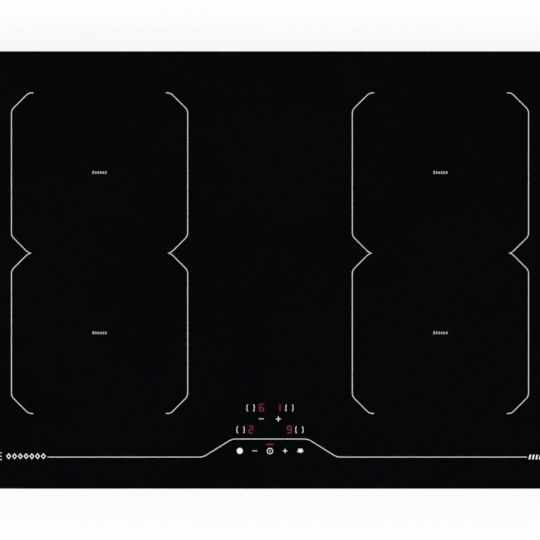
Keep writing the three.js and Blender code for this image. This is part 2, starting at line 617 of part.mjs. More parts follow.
// The flat cable from the touch board's holder back and down to the filter board.
function ribbonCable() {
  const rear = touchY + TOUCH.depth / 2 + TOUCH.wall + 2 * CONTACT + RIBBON.thickness;
  const landing = filterBoardY - FILTER_BOARD.depth / 2;
  const top = holderZ + TOUCH.floor;
  const low = boardTopZ + CONTACT + RIBBON.thickness / 2;
  const path = [
    [rear, top + 4], [rear, low + 8], [rear + 3, low + 3], [rear + 8, low],
    [landing - 30, low], [landing + 12, low],
  ];
  return slabAlongX(stripShape(path, RIBBON.thickness), RIBBON.width, RIBBON.x);
}

// ---------------------------------------------------------------- side springs
// A leaf that hooks into the tray's wall at its foot, bulges out and re-enters the wall at its free end.
function sideSpring() {
  const wall = trayWidth / 2;
  const { sheet, belly, bellyZ, bend, pivotZ, hook, topZ, width } = SPRING;
  const inside = wall - TRAY.sheet - SPRING.inside;
  const out = wall + belly - sheet / 2;
  const profile = stripShape([
    [inside, pivotZ + hook], [inside, pivotZ], [wall + bend / 2, pivotZ],
    [out - bend / 4, bellyZ - bend], [out, bellyZ], [out - bend / 4, bellyZ + bend],
    [wall + bend / 3, topZ - bend / 2], [inside - PAST, topZ + SUNK],
  ], sheet);
  return slabAlongY(profile, width);
}

// ---------------------------------------------------------------- mains connection
// The middle of each of the two lugs that carry the cover's hinge pin.
const lugX = (end) => TERMINAL.centreX + end * (coverHalf - COVER.lug / 2);
const terminalTopZ = floorZ + CONTACT + TERMINAL.height;

// A plastic well over the opening in the tray's floor, open below and towards the rear wall.
function terminalBox() {
  const { centreX: x, wall } = TERMINAL;
  const front = terminalFront;
  const rear = rearInnerY - 2 * RUNNING;
  const low = floorZ + CONTACT;
  const well = box(x - terminalHalf, x + terminalHalf, front, rear, low, terminalTopZ);
  const inside = box(
    x - terminalHalf + wall, x + terminalHalf - wall,
    front + wall, rear + PAST, low - PAST, terminalTopZ - wall,
  );
  const half = COVER.lug / 2;
  const lugs = [-1, 1].flatMap((end) => {
    const [inner, outer] = [lugX(end) - end * half, x + end * (terminalHalf - wall / 2)].sort((a, b) => a - b);
    const [a, b] = [lugX(end) - half, lugX(end) + half];
    return [
      box(a, b, hingeY - half, hingeY + half, COVER.recess, low + COVER.lugHeight),
      box(inner, outer, hingeY - half, hingeY + half, low, low + COVER.lugHeight),
    ];
  });
  const bore = rodAlongX(PIN.hole, x - terminalHalf + wall, x + terminalHalf - wall, hingeY, hingeZ);
  return geometryOf(cut(cut(well, inside).add(joined(...lugs)), bore));
}

// The lid under the terminal well. It turns down on a pin at its front edge.
function terminalCover() {
  const { centreX: x } = TERMINAL;
  const rear = openingRearY - COVER.play;
  const clear = COVER.lug + COVER.play;
  const lugReach = Math.hypot(COVER.lug / 2, hingeZ - COVER.recess);
  const z = COVER.recess;
  const plate = [
    box(x - coverHalf, x + coverHalf, hingeY + lugReach + COVER.play, rear, z, z + COVER.thickness),
    box(x - coverHalf + clear, x + coverHalf - clear, hingeY, hingeY + COVER.web, z, z + COVER.thickness),
  ];
  const barrel = rodAlongX(COVER.barrel, x - coverHalf + clear, x + coverHalf - clear, hingeY, hingeZ);
  const ribs = spaced(3, coverHalf / 1.5).map((offset) =>
    box(x + offset - COVER.rib / 2, x + offset + COVER.rib / 2, hingeY + 2 * COVER.web, rear - COVER.web,
      z + COVER.thickness - SUNK, z + 2 * COVER.thickness));
  const bore = rodAlongX(PIN.hole, x - coverHalf, x + coverHalf, hingeY, hingeZ);
  return geometryOf(cut(joined(...plate, barrel, ...ribs), bore));
}

const hingePin = () => rodAlongX(
  PIN.radius, TERMINAL.centreX - coverHalf + RUNNING, TERMINAL.centreX + coverHalf - RUNNING, hingeY, hingeZ,
);

// Five screw terminals in a row, open to the rear for the lead's cores.
function terminalBlock() {
  const { width, depth, height, poles, entry, screw } = BLOCK;
  const top = terminalTopZ - TERMINAL.wall - CONTACT;
  const y = (terminalFront + rearInnerY) / 2;
  const pitch = width / poles;
  const entries = spaced(poles, pitch).flatMap((offset) => [
    rodAlongY(entry, y - PAST, y + depth, TERMINAL.centreX + offset, top - height / 2, 8),
    rod(screw, top - height - PAST, top - height / 2, TERMINAL.centreX + offset, y, 8),
  ]);
  const body = box(
    TERMINAL.centreX - width / 2, TERMINAL.centreX + width / 2, y - depth / 2, y + depth / 2, top - height, top,
  );
  return geometryOf(cut(body, ...entries));
}

// A rubber bush that lines the lead's hole in the tray's rear wall.
function cableGrommet() {
  const { bore, outer, lip, lipLength, groove } = GROMMET;
  const waist = outer - lip;
  const half = groove / 2;
  const end = half + lipLength;
  return turned([
    [bore, -end], [outer - PAST, -end], [outer, -half], [waist, -half],
    [waist, half], [outer, half], [outer - PAST, end], [bore, end], [bore, -end],
  ]).rotateX(-Math.PI / 2);
}

// ---------------------------------------------------------------- assembly
const hob = new THREE.Group();

function place(name, geometry, finish, x = 0, y = 0, z = 0) {
  const mesh = new THREE.Mesh(geometry, finish);
  mesh.name = name;
  mesh.position.set(x, y, z);
  hob.add(mesh);
  return mesh;
}

place('glass_top', glassTop(), glassBlack);
place('rim_seal', rimSeal(), sealGrey);
place('glass_frame', glassFrame(), zincSteel);
place('base_tray', baseTray(), blackSteel);

for (const [name, side] of sides) {
  const x = sideX(side);
  place(`mica_sheet_${name}`, micaSheet(), micaGold, x, zoneMiddleY);
  place(`coil_carrier_${name}`, coilCarrier(), aluminium, x, zoneMiddleY);
  for (const [rowName, row] of rows) {
    const key = `${rowName}_${name}`;
    place(`coil_former_${key}`, coilFormer(), coilPlastic, x, coilY(row));
    place(`coil_winding_${key}`, coilWinding(), copper, x, coilY(row));
    place(`coil_spring_${key}`, coilSpring(), springSteel, x, coilY(row));
    place(`temp_sensor_${key}`, tempSensor(), whitePlastic, x, coilY(row));
    place(`side_spring_${key}`, sideSpring(), springSteel, 0, row * springY)
      .rotation.z = side > 0 ? 0 : Math.PI;
  }
  place(`power_board_${name}`, board(POWER_BOARD.width, powerBoardDepth), boardGreen, x, powerBoardY);
  place(`heatsink_${name}`, heatsink(), aluminium, x + HEATSINK.offsetX, heatsinkY);
  place(`fan_housing_${name}`, fanHousing(), blackPlastic, x + FAN.offsetX, fanY);
  place(`fan_motor_${name}`, fanMotor(), zincSteel, x + FAN.offsetX, fanY);
  place(`fan_impeller_${name}`, fanImpeller(), blackPlastic, x + FAN.offsetX, fanY);
  for (const [rowName, displayX, displayY] of displayPlaces) {
    place(`display_${rowName}_${name}`, display(), displayRed, side * displayX, displayY);
  }
}

place('touch_board', touchBoard(), boardGreen);
place('touch_board_holder', touchBoardHolder(), blackPlastic);
place('key_contact_mat', keyContactMat(), silicone);
place('ribbon_cable', ribbonCable(), whitePlastic);

place('filter_board', board(FILTER_BOARD.width, FILTER_BOARD.depth), boardGreen,
  FILTER_BOARD.centreX, filterBoardY);
place('filter_choke', filterChoke(), copper, FILTER_BOARD.centreX, filterBoardY + CHOKE.offsetY);
place('terminal_box', terminalBox(), blackPlastic);
place('terminal_block', terminalBlock(), whitePlastic);
place('terminal_cover', terminalCover(), blackPlastic);
place('terminal_hinge_pin', hingePin(), zincSteel);
place('cable_grommet', cableGrommet(), rubber,
  TERMINAL.centreX, (trayDepth - TRAY.sheet) / 2, GROMMET.z);

screwPlaces.forEach(({ x, y, along, out }, i) => {
  const screw = place(`tray_screw_${i + 1}`, trayScrew(), zincSteel, x, y, screwZ);
  if (along === 'y') screw.rotation.x = -out * Math.PI / 2;
  else screw.rotation.y = out * Math.PI / 2;
});

export default hob;
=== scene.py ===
"""The look of a built-in induction hob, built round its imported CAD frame.

Shapes are drawn in millimetres and scaled as they become pieces. Places come from the boxes of the
CAD nodes, so each finer piece sits where its CAD node is.
"""

import math

import bmesh
import bpy
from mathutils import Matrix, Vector


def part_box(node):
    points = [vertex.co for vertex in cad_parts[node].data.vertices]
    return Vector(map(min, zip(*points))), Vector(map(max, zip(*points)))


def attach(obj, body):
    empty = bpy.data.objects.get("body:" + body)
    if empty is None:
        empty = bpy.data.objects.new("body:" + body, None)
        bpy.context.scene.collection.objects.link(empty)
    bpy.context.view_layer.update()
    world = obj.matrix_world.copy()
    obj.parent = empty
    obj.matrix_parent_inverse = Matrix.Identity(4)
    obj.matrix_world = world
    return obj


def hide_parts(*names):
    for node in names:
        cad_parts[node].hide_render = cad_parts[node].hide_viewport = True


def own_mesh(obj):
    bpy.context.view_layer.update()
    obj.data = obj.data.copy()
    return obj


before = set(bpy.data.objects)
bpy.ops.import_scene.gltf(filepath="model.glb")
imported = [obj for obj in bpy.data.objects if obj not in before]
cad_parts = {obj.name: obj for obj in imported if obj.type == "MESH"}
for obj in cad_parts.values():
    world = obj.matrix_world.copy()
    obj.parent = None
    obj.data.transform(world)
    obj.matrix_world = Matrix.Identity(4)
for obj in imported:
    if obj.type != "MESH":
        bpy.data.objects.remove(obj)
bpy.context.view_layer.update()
bpy.context.scene.view_settings.view_transform = "Standard"

MM = 0.001

SIDES = {"left": -1, "right": 1}
ROWS = ("front", "rear")
PLACES = [(row, side) for side in SIDES for row in ROWS]

# Faces of more square millimetres than LARGE_FACE are shaded flat. Edges of more degrees than SHARP_ANGLE
# stay sharp. A face lies square to an axis if its normal's part along it is more than SQUARE.
LARGE_FACE = 30.0
SHARP_ANGLE = 35.0
SQUARE = 0.9999


# ---- places
class Box:
    """The box of one CAD node at rest, in millimetres: its two corners, its middle and its sizes."""

    def __init__(self, node):
        low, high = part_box(node)
        self.x0, self.y0, self.z0 = (value / MM for value in low)
        self.x1, self.y1, self.z1 = (value / MM for value in high)
        self.x, self.y = (self.x0 + self.x1) / 2, (self.y0 + self.y1) / 2
        self.z = (self.z0 + self.z1) / 2
        self.width, self.depth = self.x1 - self.x0, self.y1 - self.y0


GLASS = Box("glass_top")
TRAY = Box("base_tray")

# The prints are a thin layer whose top is the CAD glass's top. The glass itself ends just below it, and
# the prints' foot is sunk a little into the glass.
PRINT_DEPTH = 0.03
PRINT_LOW, PRINT_HIGH = GLASS.z1 - 2 * PRINT_DEPTH, GLASS.z1
LINE_WIDTH = 0.92


def standing(x, y, z=0.0, turn=0.0):
    """Sets points upright round (x, y) and above z, turned by an angle in degrees."""
    c, s = math.cos(math.radians(turn)), math.sin(math.radians(turn))
    return lambda px, py, h: (x + c * px - s * py, y + s * px + c * py, z + h)


def spaced(count, pitch):
    """Equally spaced places, centred on zero."""
    return [(i - (count - 1) / 2) * pitch for i in range(count)]


# ---- mesh helpers
def face_outwards(bm):
    """Turns all faces the same way, outwards: the lowest one that lies flat has to look down."""
    bmesh.ops.recalc_face_normals(bm, faces=bm.faces)
    lowest = min(bm.faces, key=lambda face: (round(face.calc_center_median().z, 3), -abs(face.normal.z)))
    if lowest.normal.z > 0:
        bmesh.ops.reverse_faces(bm, faces=bm.faces)


def new_object(name, data):
    obj = bpy.data.objects.new(name, data)
    bpy.context.scene.collection.objects.link(obj)
    return obj


def piece(name, bm, finishes, replaces=None, body="hob", square_flat=False):
    """Makes a named piece of a mesh drawn in millimetres, and lets it ride on a CAD body.

    finishes is the name of one finish or several, which become the piece's material slots in this order.
    Small faces are shaded smooth. With square_flat it is all faces that aren't square to the axes.
    """
    names = [finishes] if isinstance(finishes, str) else finishes
    face_outwards(bm)
    if square_flat:
        smooth = [max(map(abs, face.normal)) < SQUARE for face in bm.faces]
    else:
        smooth = [face.calc_area() < LARGE_FACE for face in bm.faces]
    bmesh.ops.scale(bm, vec=(MM, MM, MM), verts=bm.verts)
    mesh = bpy.data.meshes.new(name)
    bm.to_mesh(mesh)
    bm.free()
    for finish in names:
        mesh.materials.append(FINISHES[finish])
    mesh.set_sharp_from_angle(angle=math.radians(SHARP_ANGLE))
    mesh.polygons.foreach_set("use_smooth", smooth)
    obj = new_object(name, mesh)
    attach(obj, body)
    if replaces:
        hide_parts(replaces)
    return obj


def patch(bm, points):
    """One face with corners of its own."""
    bm.faces.new([bm.verts.new(point) for point in points])


def weld(bm):
    """Joins the parts of a skin where their edges meet."""
    bmesh.ops.remove_doubles(bm, verts=bm.verts, dist=0.002)


def loft(bm, loops, closed=False, caps=True, material=0):
    """Skins loops that have the same number of points. The ends are capped unless the loft is closed."""
    rings = [[bm.verts.new(point) for point in loop] for loop in loops]
    following = rings[1:] + rings[:1] if closed else rings[1:]
    for lower, upper in zip(rings, following):
        for i in range(len(lower)):
            j = (i + 1) % len(lower)
            face = bm.faces.new((lower[i], lower[j], upper[j], upper[i]))
            face.material_index = material
    if caps and not closed:
        for ring in (rings[0], rings[-1]):
            bm.faces.new(ring).material_index = material


def paint_above(bm, height):
    """Gives the faces above a height the piece's second finish."""
    for face in bm.faces:
        if face.calc_center_median().z > height:
            face.material_index = 1


def round_rectangle(width, depth, radius, steps=8, x=0.0, y=0.0):
    """The outline of a rectangle with round corners, anticlockwise from the front right corner."""
    points = []
    for quarter, (sx, sy) in enumerate(((1, -1), (1, 1), (-1, 1), (-1, -1))):
        cx = x + sx * (width / 2 - radius)
        cy = y + sy * (depth / 2 - radius)
        for step in range(steps + 1):
            angle = math.radians(90 * (quarter - 1 + step / steps))
            points.append((cx + radius * math.cos(angle), cy + radius * math.sin(angle)))
    return points


def slot_outline(u, v, width, height, round_off=None, steps=4):
    """The outline of a slot with round ends, or with corners of a given radius."""
    radius = min(width, height) / 2 - 0.01 if round_off is None else round_off
    return round_rectangle(width, height, radius, steps, u, v)


def circle(x, y, radius, steps=32):
    """The outline of a circle, anticlockwise."""
    turns = [2 * math.pi * i / steps for i in range(steps)]
    return [(x + radius * math.cos(turn), y + radius * math.sin(turn)) for turn in turns]


def plus_outline(x, y, arm, half_width):
    """The outline of two crossing bars."""
    quarter = ((arm, -half_width), (arm, half_width), (half_width, half_width))
    turns = ((1, 0), (0, 1), (-1, 0), (0, -1))
    return [(x + c * a - s * b, y + s * a + c * b) for c, s in turns for a, b in quarter]


def at_height(outline, z):
    """A flat outline as points at one height."""
    return [(x, y, z) for x, y in outline]


def inset_loops(profile, width, depth, corner, steps=8, x=0.0, y=0.0, least=0.0, share=1.0):
    """Level loops of a rounded rectangle, one for each (inset, height) of a profile.

    A corner's radius shrinks by this share of the inset, and no further than to the least one.
    """
    loops = []
    for inset, z in profile:
        radius = max(least, corner - share * inset)
        outline = round_rectangle(width - 2 * inset, depth - 2 * inset, radius, steps, x, y)
        loops.append(at_height(outline, z))
    return loops


def prism(bm, outline, low=PRINT_LOW, high=PRINT_HIGH):
    """An upright solid over a closed outline, as thick as the prints unless it says otherwise."""
    loft(bm, [at_height(outline, low), at_height(outline, high)])


def soft_box(bm, x, y, z0, width, depth, height, edge=0.4, corner=0.8, material=0):
    """A moulded block with round upright corners and an eased top edge."""
    top = z0 + height
    profile = [(0.0, z0), (0.0, top - edge), (edge * 0.3, top - edge * 0.3), (edge, top)]
    loft(bm, inset_loops(profile, width, depth, corner, 3, x, y, 0.1, 0.5), material=material)


def rounded_corners(points, radius, steps=6):
    """An open line whose inner corners are turned into arcs that touch both of their sides."""
    vectors = [Vector(point) for point in points]
    line = [vectors[0]]
    for before, corner, after in zip(vectors, vectors[1:], vectors[2:]):
        back = (before - corner).normalized()
        on = (after - corner).normalized()
        half_turn = back.angle(on) / 2
        reach = radius / math.tan(half_turn)
        centre = corner + (back + on).normalized() * (radius / math.sin(half_turn))
        start = (corner + back * reach - centre).normalized()
        end = (corner + on * reach - centre).normalized()
        for step in range(steps + 1):
            line.append(centre + start.slerp(end, step / steps) * radius)
    line.append(vectors[-1])
    return [(point.x, point.y) for point in line]


def stroke(bm, points, width, closed=False):
    """A printed line of even width along flat points, with mitred bends."""
    vectors = [Vector(point) for point in points]
    count = len(vectors)
    sections = []
    for i, point in enumerate(vectors):
        ways = []
        if closed or i > 0:
            ways.append((point - vectors[i - 1]).normalized())
        if closed or i < count - 1:
            ways.append((vectors[(i + 1) % count] - point).normalized())
        along = sum(ways, Vector((0, 0))).normalized()
        across = Vector((-along.y, along.x)) * (width / 2 / max(0.5, along.dot(ways[0])))
        a, b = point + across, point - across
        sections.append(
            [(a.x, a.y, PRINT_LOW), (b.x, b.y, PRINT_LOW), (b.x, b.y, PRINT_HIGH), (a.x, a.y, PRINT_HIGH)]
        )
    loft(bm, sections, closed=closed)


def lathe(bm, profile, place, steps=24, closed=False, material=0):
    """Turns a profile of (radius, height) points round an axis. place(x, y, z) sets a point in the frame."""
    loops = [
        [place(x, y, height) for x, y in circle(0, 0, max(radius, 0.01), steps)] for radius, height in profile
    ]
    loft(bm, loops, closed=closed, material=material)


def tube(bm, points, radius, sides=6, material=0, flatten=1.0):
    """A wire of even thickness along a line of points, with its section carried along without twisting."""
    vectors = [Vector(point) for point in points]
    last = len(vectors) - 1
    normal = None
    loops = []
    for i, point in enumerate(vectors):
        along = (vectors[min(i + 1, last)] - vectors[max(i - 1, 0)]).normalized()
        if normal is None:
            normal = along.orthogonal() if abs(along.z) > 0.9 else Vector((0, 0, 1))
        normal = (normal - along * normal.dot(along)).normalized()
        across = along.cross(normal)
        turns = [2 * math.pi * (side + 0.5) / sides for side in range(sides)]
        loops.append(
            [point + radius * (flatten * math.cos(turn) * across + math.sin(turn) * normal) for turn in turns]
        )
    loft(bm, loops, material=material)


def sheet_strip(bm, path, width, thickness, place):
    """A bent strip of sheet. path is a line of (u, v) points. place(u, v, w) sets a point in the frame."""
    vectors = [Vector(point) for point in path]
    last = len(vectors) - 1
    loops = []
    for i, point in enumerate(vectors):
        along = (vectors[min(i + 1, last)] - vectors[max(i - 1, 0)]).normalized()
        across = Vector((-along.y, along.x)) * (thickness / 2)
        a, b = point + across, point - across
        corners = ((a, -1), (a, 1), (b, 1), (b, -1))
        loops.append([place(corner.x, corner.y, side * width / 2) for corner, side in corners])
    loft(bm, loops)


def pierced(bm, outline, holes, place):
    """A flat sheet without thickness, with holes. place(u, v) sets each point in the frame."""
    edges = []
    for line in (outline, *holes):
        verts = [bm.verts.new(place(u, v)) for u, v in line]
        edges += [bm.edges.new((verts[i - 1], verts[i])) for i in range(len(verts))]
    bmesh.ops.triangle_fill(bm, use_beauty=True, use_dissolve=False, edges=edges)


# ---- materials
class NodeTree:
    """A short way to write a node tree: add() makes a node and sets or links its inputs.

    A colour is three numbers. Its fourth is added.
    """

    def __init__(self, tree):
        self.tree = tree
        self.tree.nodes.clear()

    def add(self, kind, inputs=None, **settings):
        node = self.tree.nodes.new("ShaderNode" + kind)
        for key, value in settings.items():
            setattr(node, key, value)
        for key, value in (inputs or {}).items():
            socket = node.inputs[key]
            if isinstance(value, bpy.types.NodeSocket):
                self.tree.links.new(value, socket)
            else:
                socket.default_value = (*value, 1.0) if socket.type == "RGBA" else value
        return node

    def math(self, operation, first, second):
        return self.add("Math", {0: first, 1: second}, operation=operation).outputs[0]

    def noise(self, vector, size, detail=3.0):
        """The value of a noise whose lumps are about size millimetres across."""
        inputs = {"Vector": vector, "Scale": 1 / (size * MM), "Detail": detail}
        return self.add("TexNoise", inputs).outputs["Fac"]

    def cells(self, vector, size):
        """Cells about size millimetres across: the distance to their middles, and their shade."""
        cells = self.add("TexVoronoi", {"Vector": vector, "Scale": 1 / (size * MM)})
        shade = self.add("SeparateColor", {"Color": cells.outputs["Color"]})
        return cells.outputs["Distance"], shade.outputs[0]

    def stripes(self, vector, period, direction, distortion=0.0):
        """The value of stripes that repeat every period millimetres along an axis."""
        per_unit = 10 if direction == "DIAGONAL" else 20
        inputs = {"Vector": vector, "Scale": 2 * math.pi / per_unit / (period * MM), "Distortion": distortion}
        return self.add("TexWave", inputs, bands_direction=direction).outputs["Fac"]

    def remap(self, value, low=0.0, high=1.0, source=(0.3, 0.7), **settings):
        """A value stretched from its own range to another. The usual range is that of a noise."""
        inputs = {"Value": value, "From Min": source[0], "From Max": source[1], "To Min": low, "To Max": high}
        return self.add("MapRange", inputs, **settings).outputs["Result"]

    def blend(self, factor, first, second):
        """A colour between two colours, each a constant or a socket."""
        return self.add("Mix", {0: factor, 6: first, 7: second}, data_type="RGBA").outputs[2]

    def object_place(self, stretch=(1.0, 1.0, 1.0)):
        """The point on the object, in metres, squeezed along each axis by the given factors."""
        place = self.add("TexCoord").outputs["Object"]
        return self.add("Mapping", {"Vector": place, "Scale": stretch}).outputs["Vector"]


class MaterialTree(NodeTree):
    """The node tree of a new material."""

    def __init__(self, name):
        self.material = bpy.data.materials.new(name)
        self.material.use_nodes = True
        super().__init__(self.material.node_tree)

    def close(self, tone, roughness, metallic=0.0, ridges=None, relief=0.0, extra=None):
        """Ends the tree with a Principled shader. ridges are as high as relief, in millimetres."""
        inputs = {"Base Color": tone, "Roughness": roughness, "Metallic": metallic, **(extra or {})}
        if relief:
            bump = self.add("Bump", {"Height": ridges, "Distance": relief * MM, "Strength": 1.0})
            inputs["Normal"] = bump.outputs["Normal"]
        shader = self.add("BsdfPrincipled", inputs)
        self.add("OutputMaterial", {"Surface": shader.outputs["BSDF"]})
        return self.material

    def glow(self, tone, roughness, light):
        """Ends the tree with a shader that gives light."""
        return self.close(tone, roughness, extra={"Emission Color": light, "Emission Strength": 1.0})


# The range of a pattern that runs from nothing to all, where a noise's is narrower.
FULL = (0.0, 1.0)


def plain_finish(name, dark, light, roughness, grain, relief=0.0, metallic=0.0, stretch=(1.0, 1.0, 1.0)):
    """A plain finish as a real one shows it: its tone wavers, and its gloss and relief follow its grain.

    dark and light are its tones, roughness its least and most, grain its grain's size and relief its
    grain's height, in millimetres.
    """
    nodes = MaterialTree(name)
    place = nodes.object_place(stretch)
    fine = nodes.noise(place, grain)
    both = nodes.math("ADD", fine, nodes.noise(place, grain * 40, detail=5.0))
    tone = nodes.blend(nodes.remap(both, source=(0.75, 1.25)), dark, light)
    return nodes.close(tone, nodes.remap(fine, *roughness), metallic, fine, relief)


def foam_finish():
    """Closed-cell foam: small round pores."""
    nodes = MaterialTree("foam_tape")
    pores, _ = nodes.cells(nodes.object_place(), 0.6)
    tone = nodes.blend(nodes.remap(pores, source=(0.1, 0.6)), (0.008, 0.008, 0.009), (0.03, 0.03, 0.032))
    return nodes.close(tone, 0.92, ridges=pores, relief=0.12)


def zinc_coat_finish(name, size, dark, light):
    """Zinc-coated sheet: flat crystals of slightly different greys."""
    nodes = MaterialTree(name)
    _, shade = nodes.cells(nodes.object_place(), size)
    return nodes.close(nodes.blend(shade, dark, light), nodes.remap(shade, 0.32, 0.5, FULL), 1.0)


def mica_finish():
    """Pressed mica: overlapping flakes, silvery gold, each with its own gloss."""
    nodes = MaterialTree("pressed_mica")
    _, shade = nodes.cells(nodes.object_place((1.0, 1.6, 1.0)), 7)
    tone = nodes.blend(shade, (0.30, 0.22, 0.13), (0.46, 0.38, 0.25))
    return nodes.close(
        tone, nodes.remap(shade, 0.25, 0.5, FULL), ridges=shade, relief=0.05, extra={"Coat Weight": 0.3}
    )


def circuit_board_finish():
    """Green solder mask over copper tracks that run square to each other."""
    nodes = MaterialTree("circuit_board_mask")
    place = nodes.object_place()
    turned = nodes.add("Mapping", {"Vector": place, "Rotation": (0.0, 0.0, math.pi / 2)}).outputs["Vector"]
    brick = {"Scale": 1.0, "Mortar Size": 0.0007, "Brick Width": 0.017, "Row Height": 0.0052}
    across = nodes.add("TexBrick", {"Vector": place, **brick}, offset=0.37).outputs["Fac"]
    along = nodes.add("TexBrick", {"Vector": turned, **brick}, offset=0.61).outputs["Fac"]
    tracks = nodes.math("MAXIMUM", across, along)
    cloud = nodes.noise(place, 30, detail=4.0)
    mask = nodes.blend(nodes.remap(cloud), (0.006, 0.055, 0.022), (0.010, 0.085, 0.034))
    tone = nodes.blend(tracks, mask, (0.02, 0.15, 0.06))
    return nodes.close(tone, nodes.remap(cloud, 0.22, 0.36), ridges=tracks, relief=0.04)


def litz_finish():
    """Twisted enamelled copper strands, as bright diagonal ridges."""
    nodes = MaterialTree("copper_litz")
    strands = nodes.stripes(nodes.object_place(), 2.2, "DIAGONAL", 1.5)
    tone = nodes.blend(strands, (0.30, 0.085, 0.035), (0.72, 0.27, 0.12))
    return nodes.close(tone, nodes.remap(strands, 0.5, 0.3, FULL), 1.0, strands, 0.15)


def ribbon_finish():
    """A flat cable: fine cores side by side along it."""
    nodes = MaterialTree("ribbon_insulation")
    cores = nodes.stripes(nodes.object_place(), 1.27, "X")
    tone = nodes.blend(cores, (0.40, 0.40, 0.39), (0.58, 0.58, 0.56))
    return nodes.close(tone, nodes.remap(cores, 0.5, 0.38, FULL), ridges=cores, relief=0.15)


def glow_finish(name, colour):
    """A light-emitting segment seen through dark glass, a little uneven from spot to spot."""
    nodes = MaterialTree(name)
    cells = nodes.remap(nodes.noise(nodes.object_place(), 1.2))
    dim, bright = (tuple(share * c for c in colour) for share in (0.85, 1.15))
    return nodes.glow((0.004, 0.002, 0.002), 0.08, nodes.blend(cells, dim, bright))


def halo_finish():
    """Black glass with a red glow in it that fades from its middle to its rim."""
    nodes = MaterialTree("glass_with_glow")
    place = nodes.add("TexCoord").outputs["Generated"]
    spread = nodes.add("Mapping", {"Vector": place, "Location": (-1.0, -1.0, 0.0), "Scale": (2.0, 2.0, 0.0)})
    middle = nodes.add("TexGradient", {"Vector": spread.outputs["Vector"]}, gradient_type="SPHERICAL")
    share = nodes.remap(middle.outputs["Fac"], source=(0.0, 0.55))
    red = nodes.blend(share, (0.0, 0.0, 0.0), (0.019, 0.0, 0.0))
    return nodes.glow((0.0018, 0.0021, 0.0027), 0.04, red)


# The plain finishes: each one's material and what plain_finish needs.
PLAIN_FINISHES = {
    "glass": ("black_glass_ceramic", (0.0016, 0.0019, 0.0025), (0.0019, 0.0022, 0.0028), (0.03, 0.05), 3.0),
    "tray_steel": (
        "black_coated_sheet", (0.0095, 0.01, 0.0112), (0.015, 0.0155, 0.017), (0.36, 0.5), 1.1, 0.03,
    ),
    "aluminium": (
        "brushed_aluminium", (0.48, 0.49, 0.5), (0.62, 0.63, 0.64), (0.28, 0.45), 0.35, 0.01, 1.0,
        (1.0, 0.03, 1.0),
    ),
    "coil_plastic": ("filled_moulding", (0.02, 0.021, 0.023), (0.032, 0.033, 0.035), (0.5, 0.66), 0.5, 0.03),
    "spring_steel": (
        "rolled_spring_steel", (0.42, 0.42, 0.43), (0.58, 0.58, 0.58), (0.22, 0.36), 0.3, 0.008, 1.0,
        (1.0, 1.0, 0.04),
    ),
    "white_plastic": ("white_moulding", (0.62, 0.61, 0.57), (0.7, 0.69, 0.65), (0.38, 0.5), 0.6, 0.02),
    "black_plastic": (
        "black_moulding", (0.0085, 0.0088, 0.0095), (0.0125, 0.013, 0.014), (0.42, 0.58), 0.5, 0.03,
    ),
    "display": ("display_filter", (0.03, 0.004, 0.004), (0.045, 0.006, 0.006), (0.15, 0.25), 1.5),
    "silicone": ("soft_silicone", (0.036, 0.038, 0.042), (0.05, 0.052, 0.056), (0.6, 0.75), 0.8, 0.02),
    "rubber": ("black_rubber", (0.0065, 0.0065, 0.0068), (0.011, 0.011, 0.0115), (0.62, 0.8), 0.5, 0.03),
    "ferrite": ("sintered_ferrite", (0.018, 0.018, 0.019), (0.03, 0.03, 0.031), (0.5, 0.7), 0.4, 0.03),
    "film_blue": ("blue_film_casing", (0.02, 0.06, 0.14), (0.03, 0.085, 0.18), (0.3, 0.42), 0.6, 0.02),
    "film_yellow": ("yellow_film_casing", (0.52, 0.36, 0.05), (0.62, 0.44, 0.08), (0.35, 0.48), 0.6, 0.02),
    "brass": ("turned_brass", (0.5, 0.33, 0.12), (0.62, 0.43, 0.18), (0.25, 0.4), 0.3, 0.006, 1.0),
    "print_grey": ("grey_ceramic_print", (0.54, 0.54, 0.55), (0.61, 0.61, 0.62), (0.5, 0.62), 0.25, 0.004),
    "print_white": ("white_ceramic_print", (0.72, 0.72, 0.72), (0.8, 0.8, 0.8), (0.5, 0.62), 0.25, 0.004),
    "print_dim": ("dim_ceramic_print", (0.3, 0.3, 0.31), (0.37, 0.37, 0.38), (0.5, 0.62), 0.25, 0.004),
}

# One procedural finish for each material slot of the record, and those of the prints and the lights.
FINISHES = {
    **{key: plain_finish(*values) for key, values in PLAIN_FINISHES.items()},
    "seal": foam_finish(),
    "frame_steel": zinc_coat_finish("zinc_coated_frame", 6, (0.38, 0.39, 0.40), (0.55, 0.56, 0.57)),
    "zinc_steel": zinc_coat_finish("bright_zinc", 1.5, (0.48, 0.49, 0.50), (0.66, 0.66, 0.64)),
    "mica": mica_finish(),
    "copper": litz_finish(),
    "circuit_board": circuit_board_finish(),
    "ribbon": ribbon_finish(),
    "digit": glow_finish("digit_light", (0.190, 0.050, 0.050)),
    "bar": glow_finish("bar_light", (0.175, 0.060, 0.055)),
    "halo": halo_finish(),
}


def dress_frame():
    """Gives each CAD node the procedural finish of its own material slot."""
    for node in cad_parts.values():
        for slot in node.material_slots:
            slot.material = FINISHES[slot.material.name]
    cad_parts["ribbon_cable"].material_slots[0].material = FINISHES["ribbon"]


# ---- glass and prints
def build_glass():
    """The glass top, with its upper edge ground round and its lower edge just broken."""
    corner, top_round, low_round = 6.0, 0.5, 0.4
    top = GLASS.z1 - PRINT_DEPTH
    profile = []
    for step in range(4):
        angle = math.radians(90 * step / 3)
        profile.append((low_round * (1 - math.sin(angle)), GLASS.z0 + low_round * (1 - math.cos(angle))))
    for step in range(7):
        angle = math.radians(90 * step / 6)
        profile.append((top_round * (1 - math.cos(angle)), top - top_round * (1 - math.sin(angle))))
    bm = bmesh.new()
    loft(bm, inset_loops(profile, GLASS.width, GLASS.depth, corner, 10))
    piece("glass_plate", bm, "glass", "glass_top")


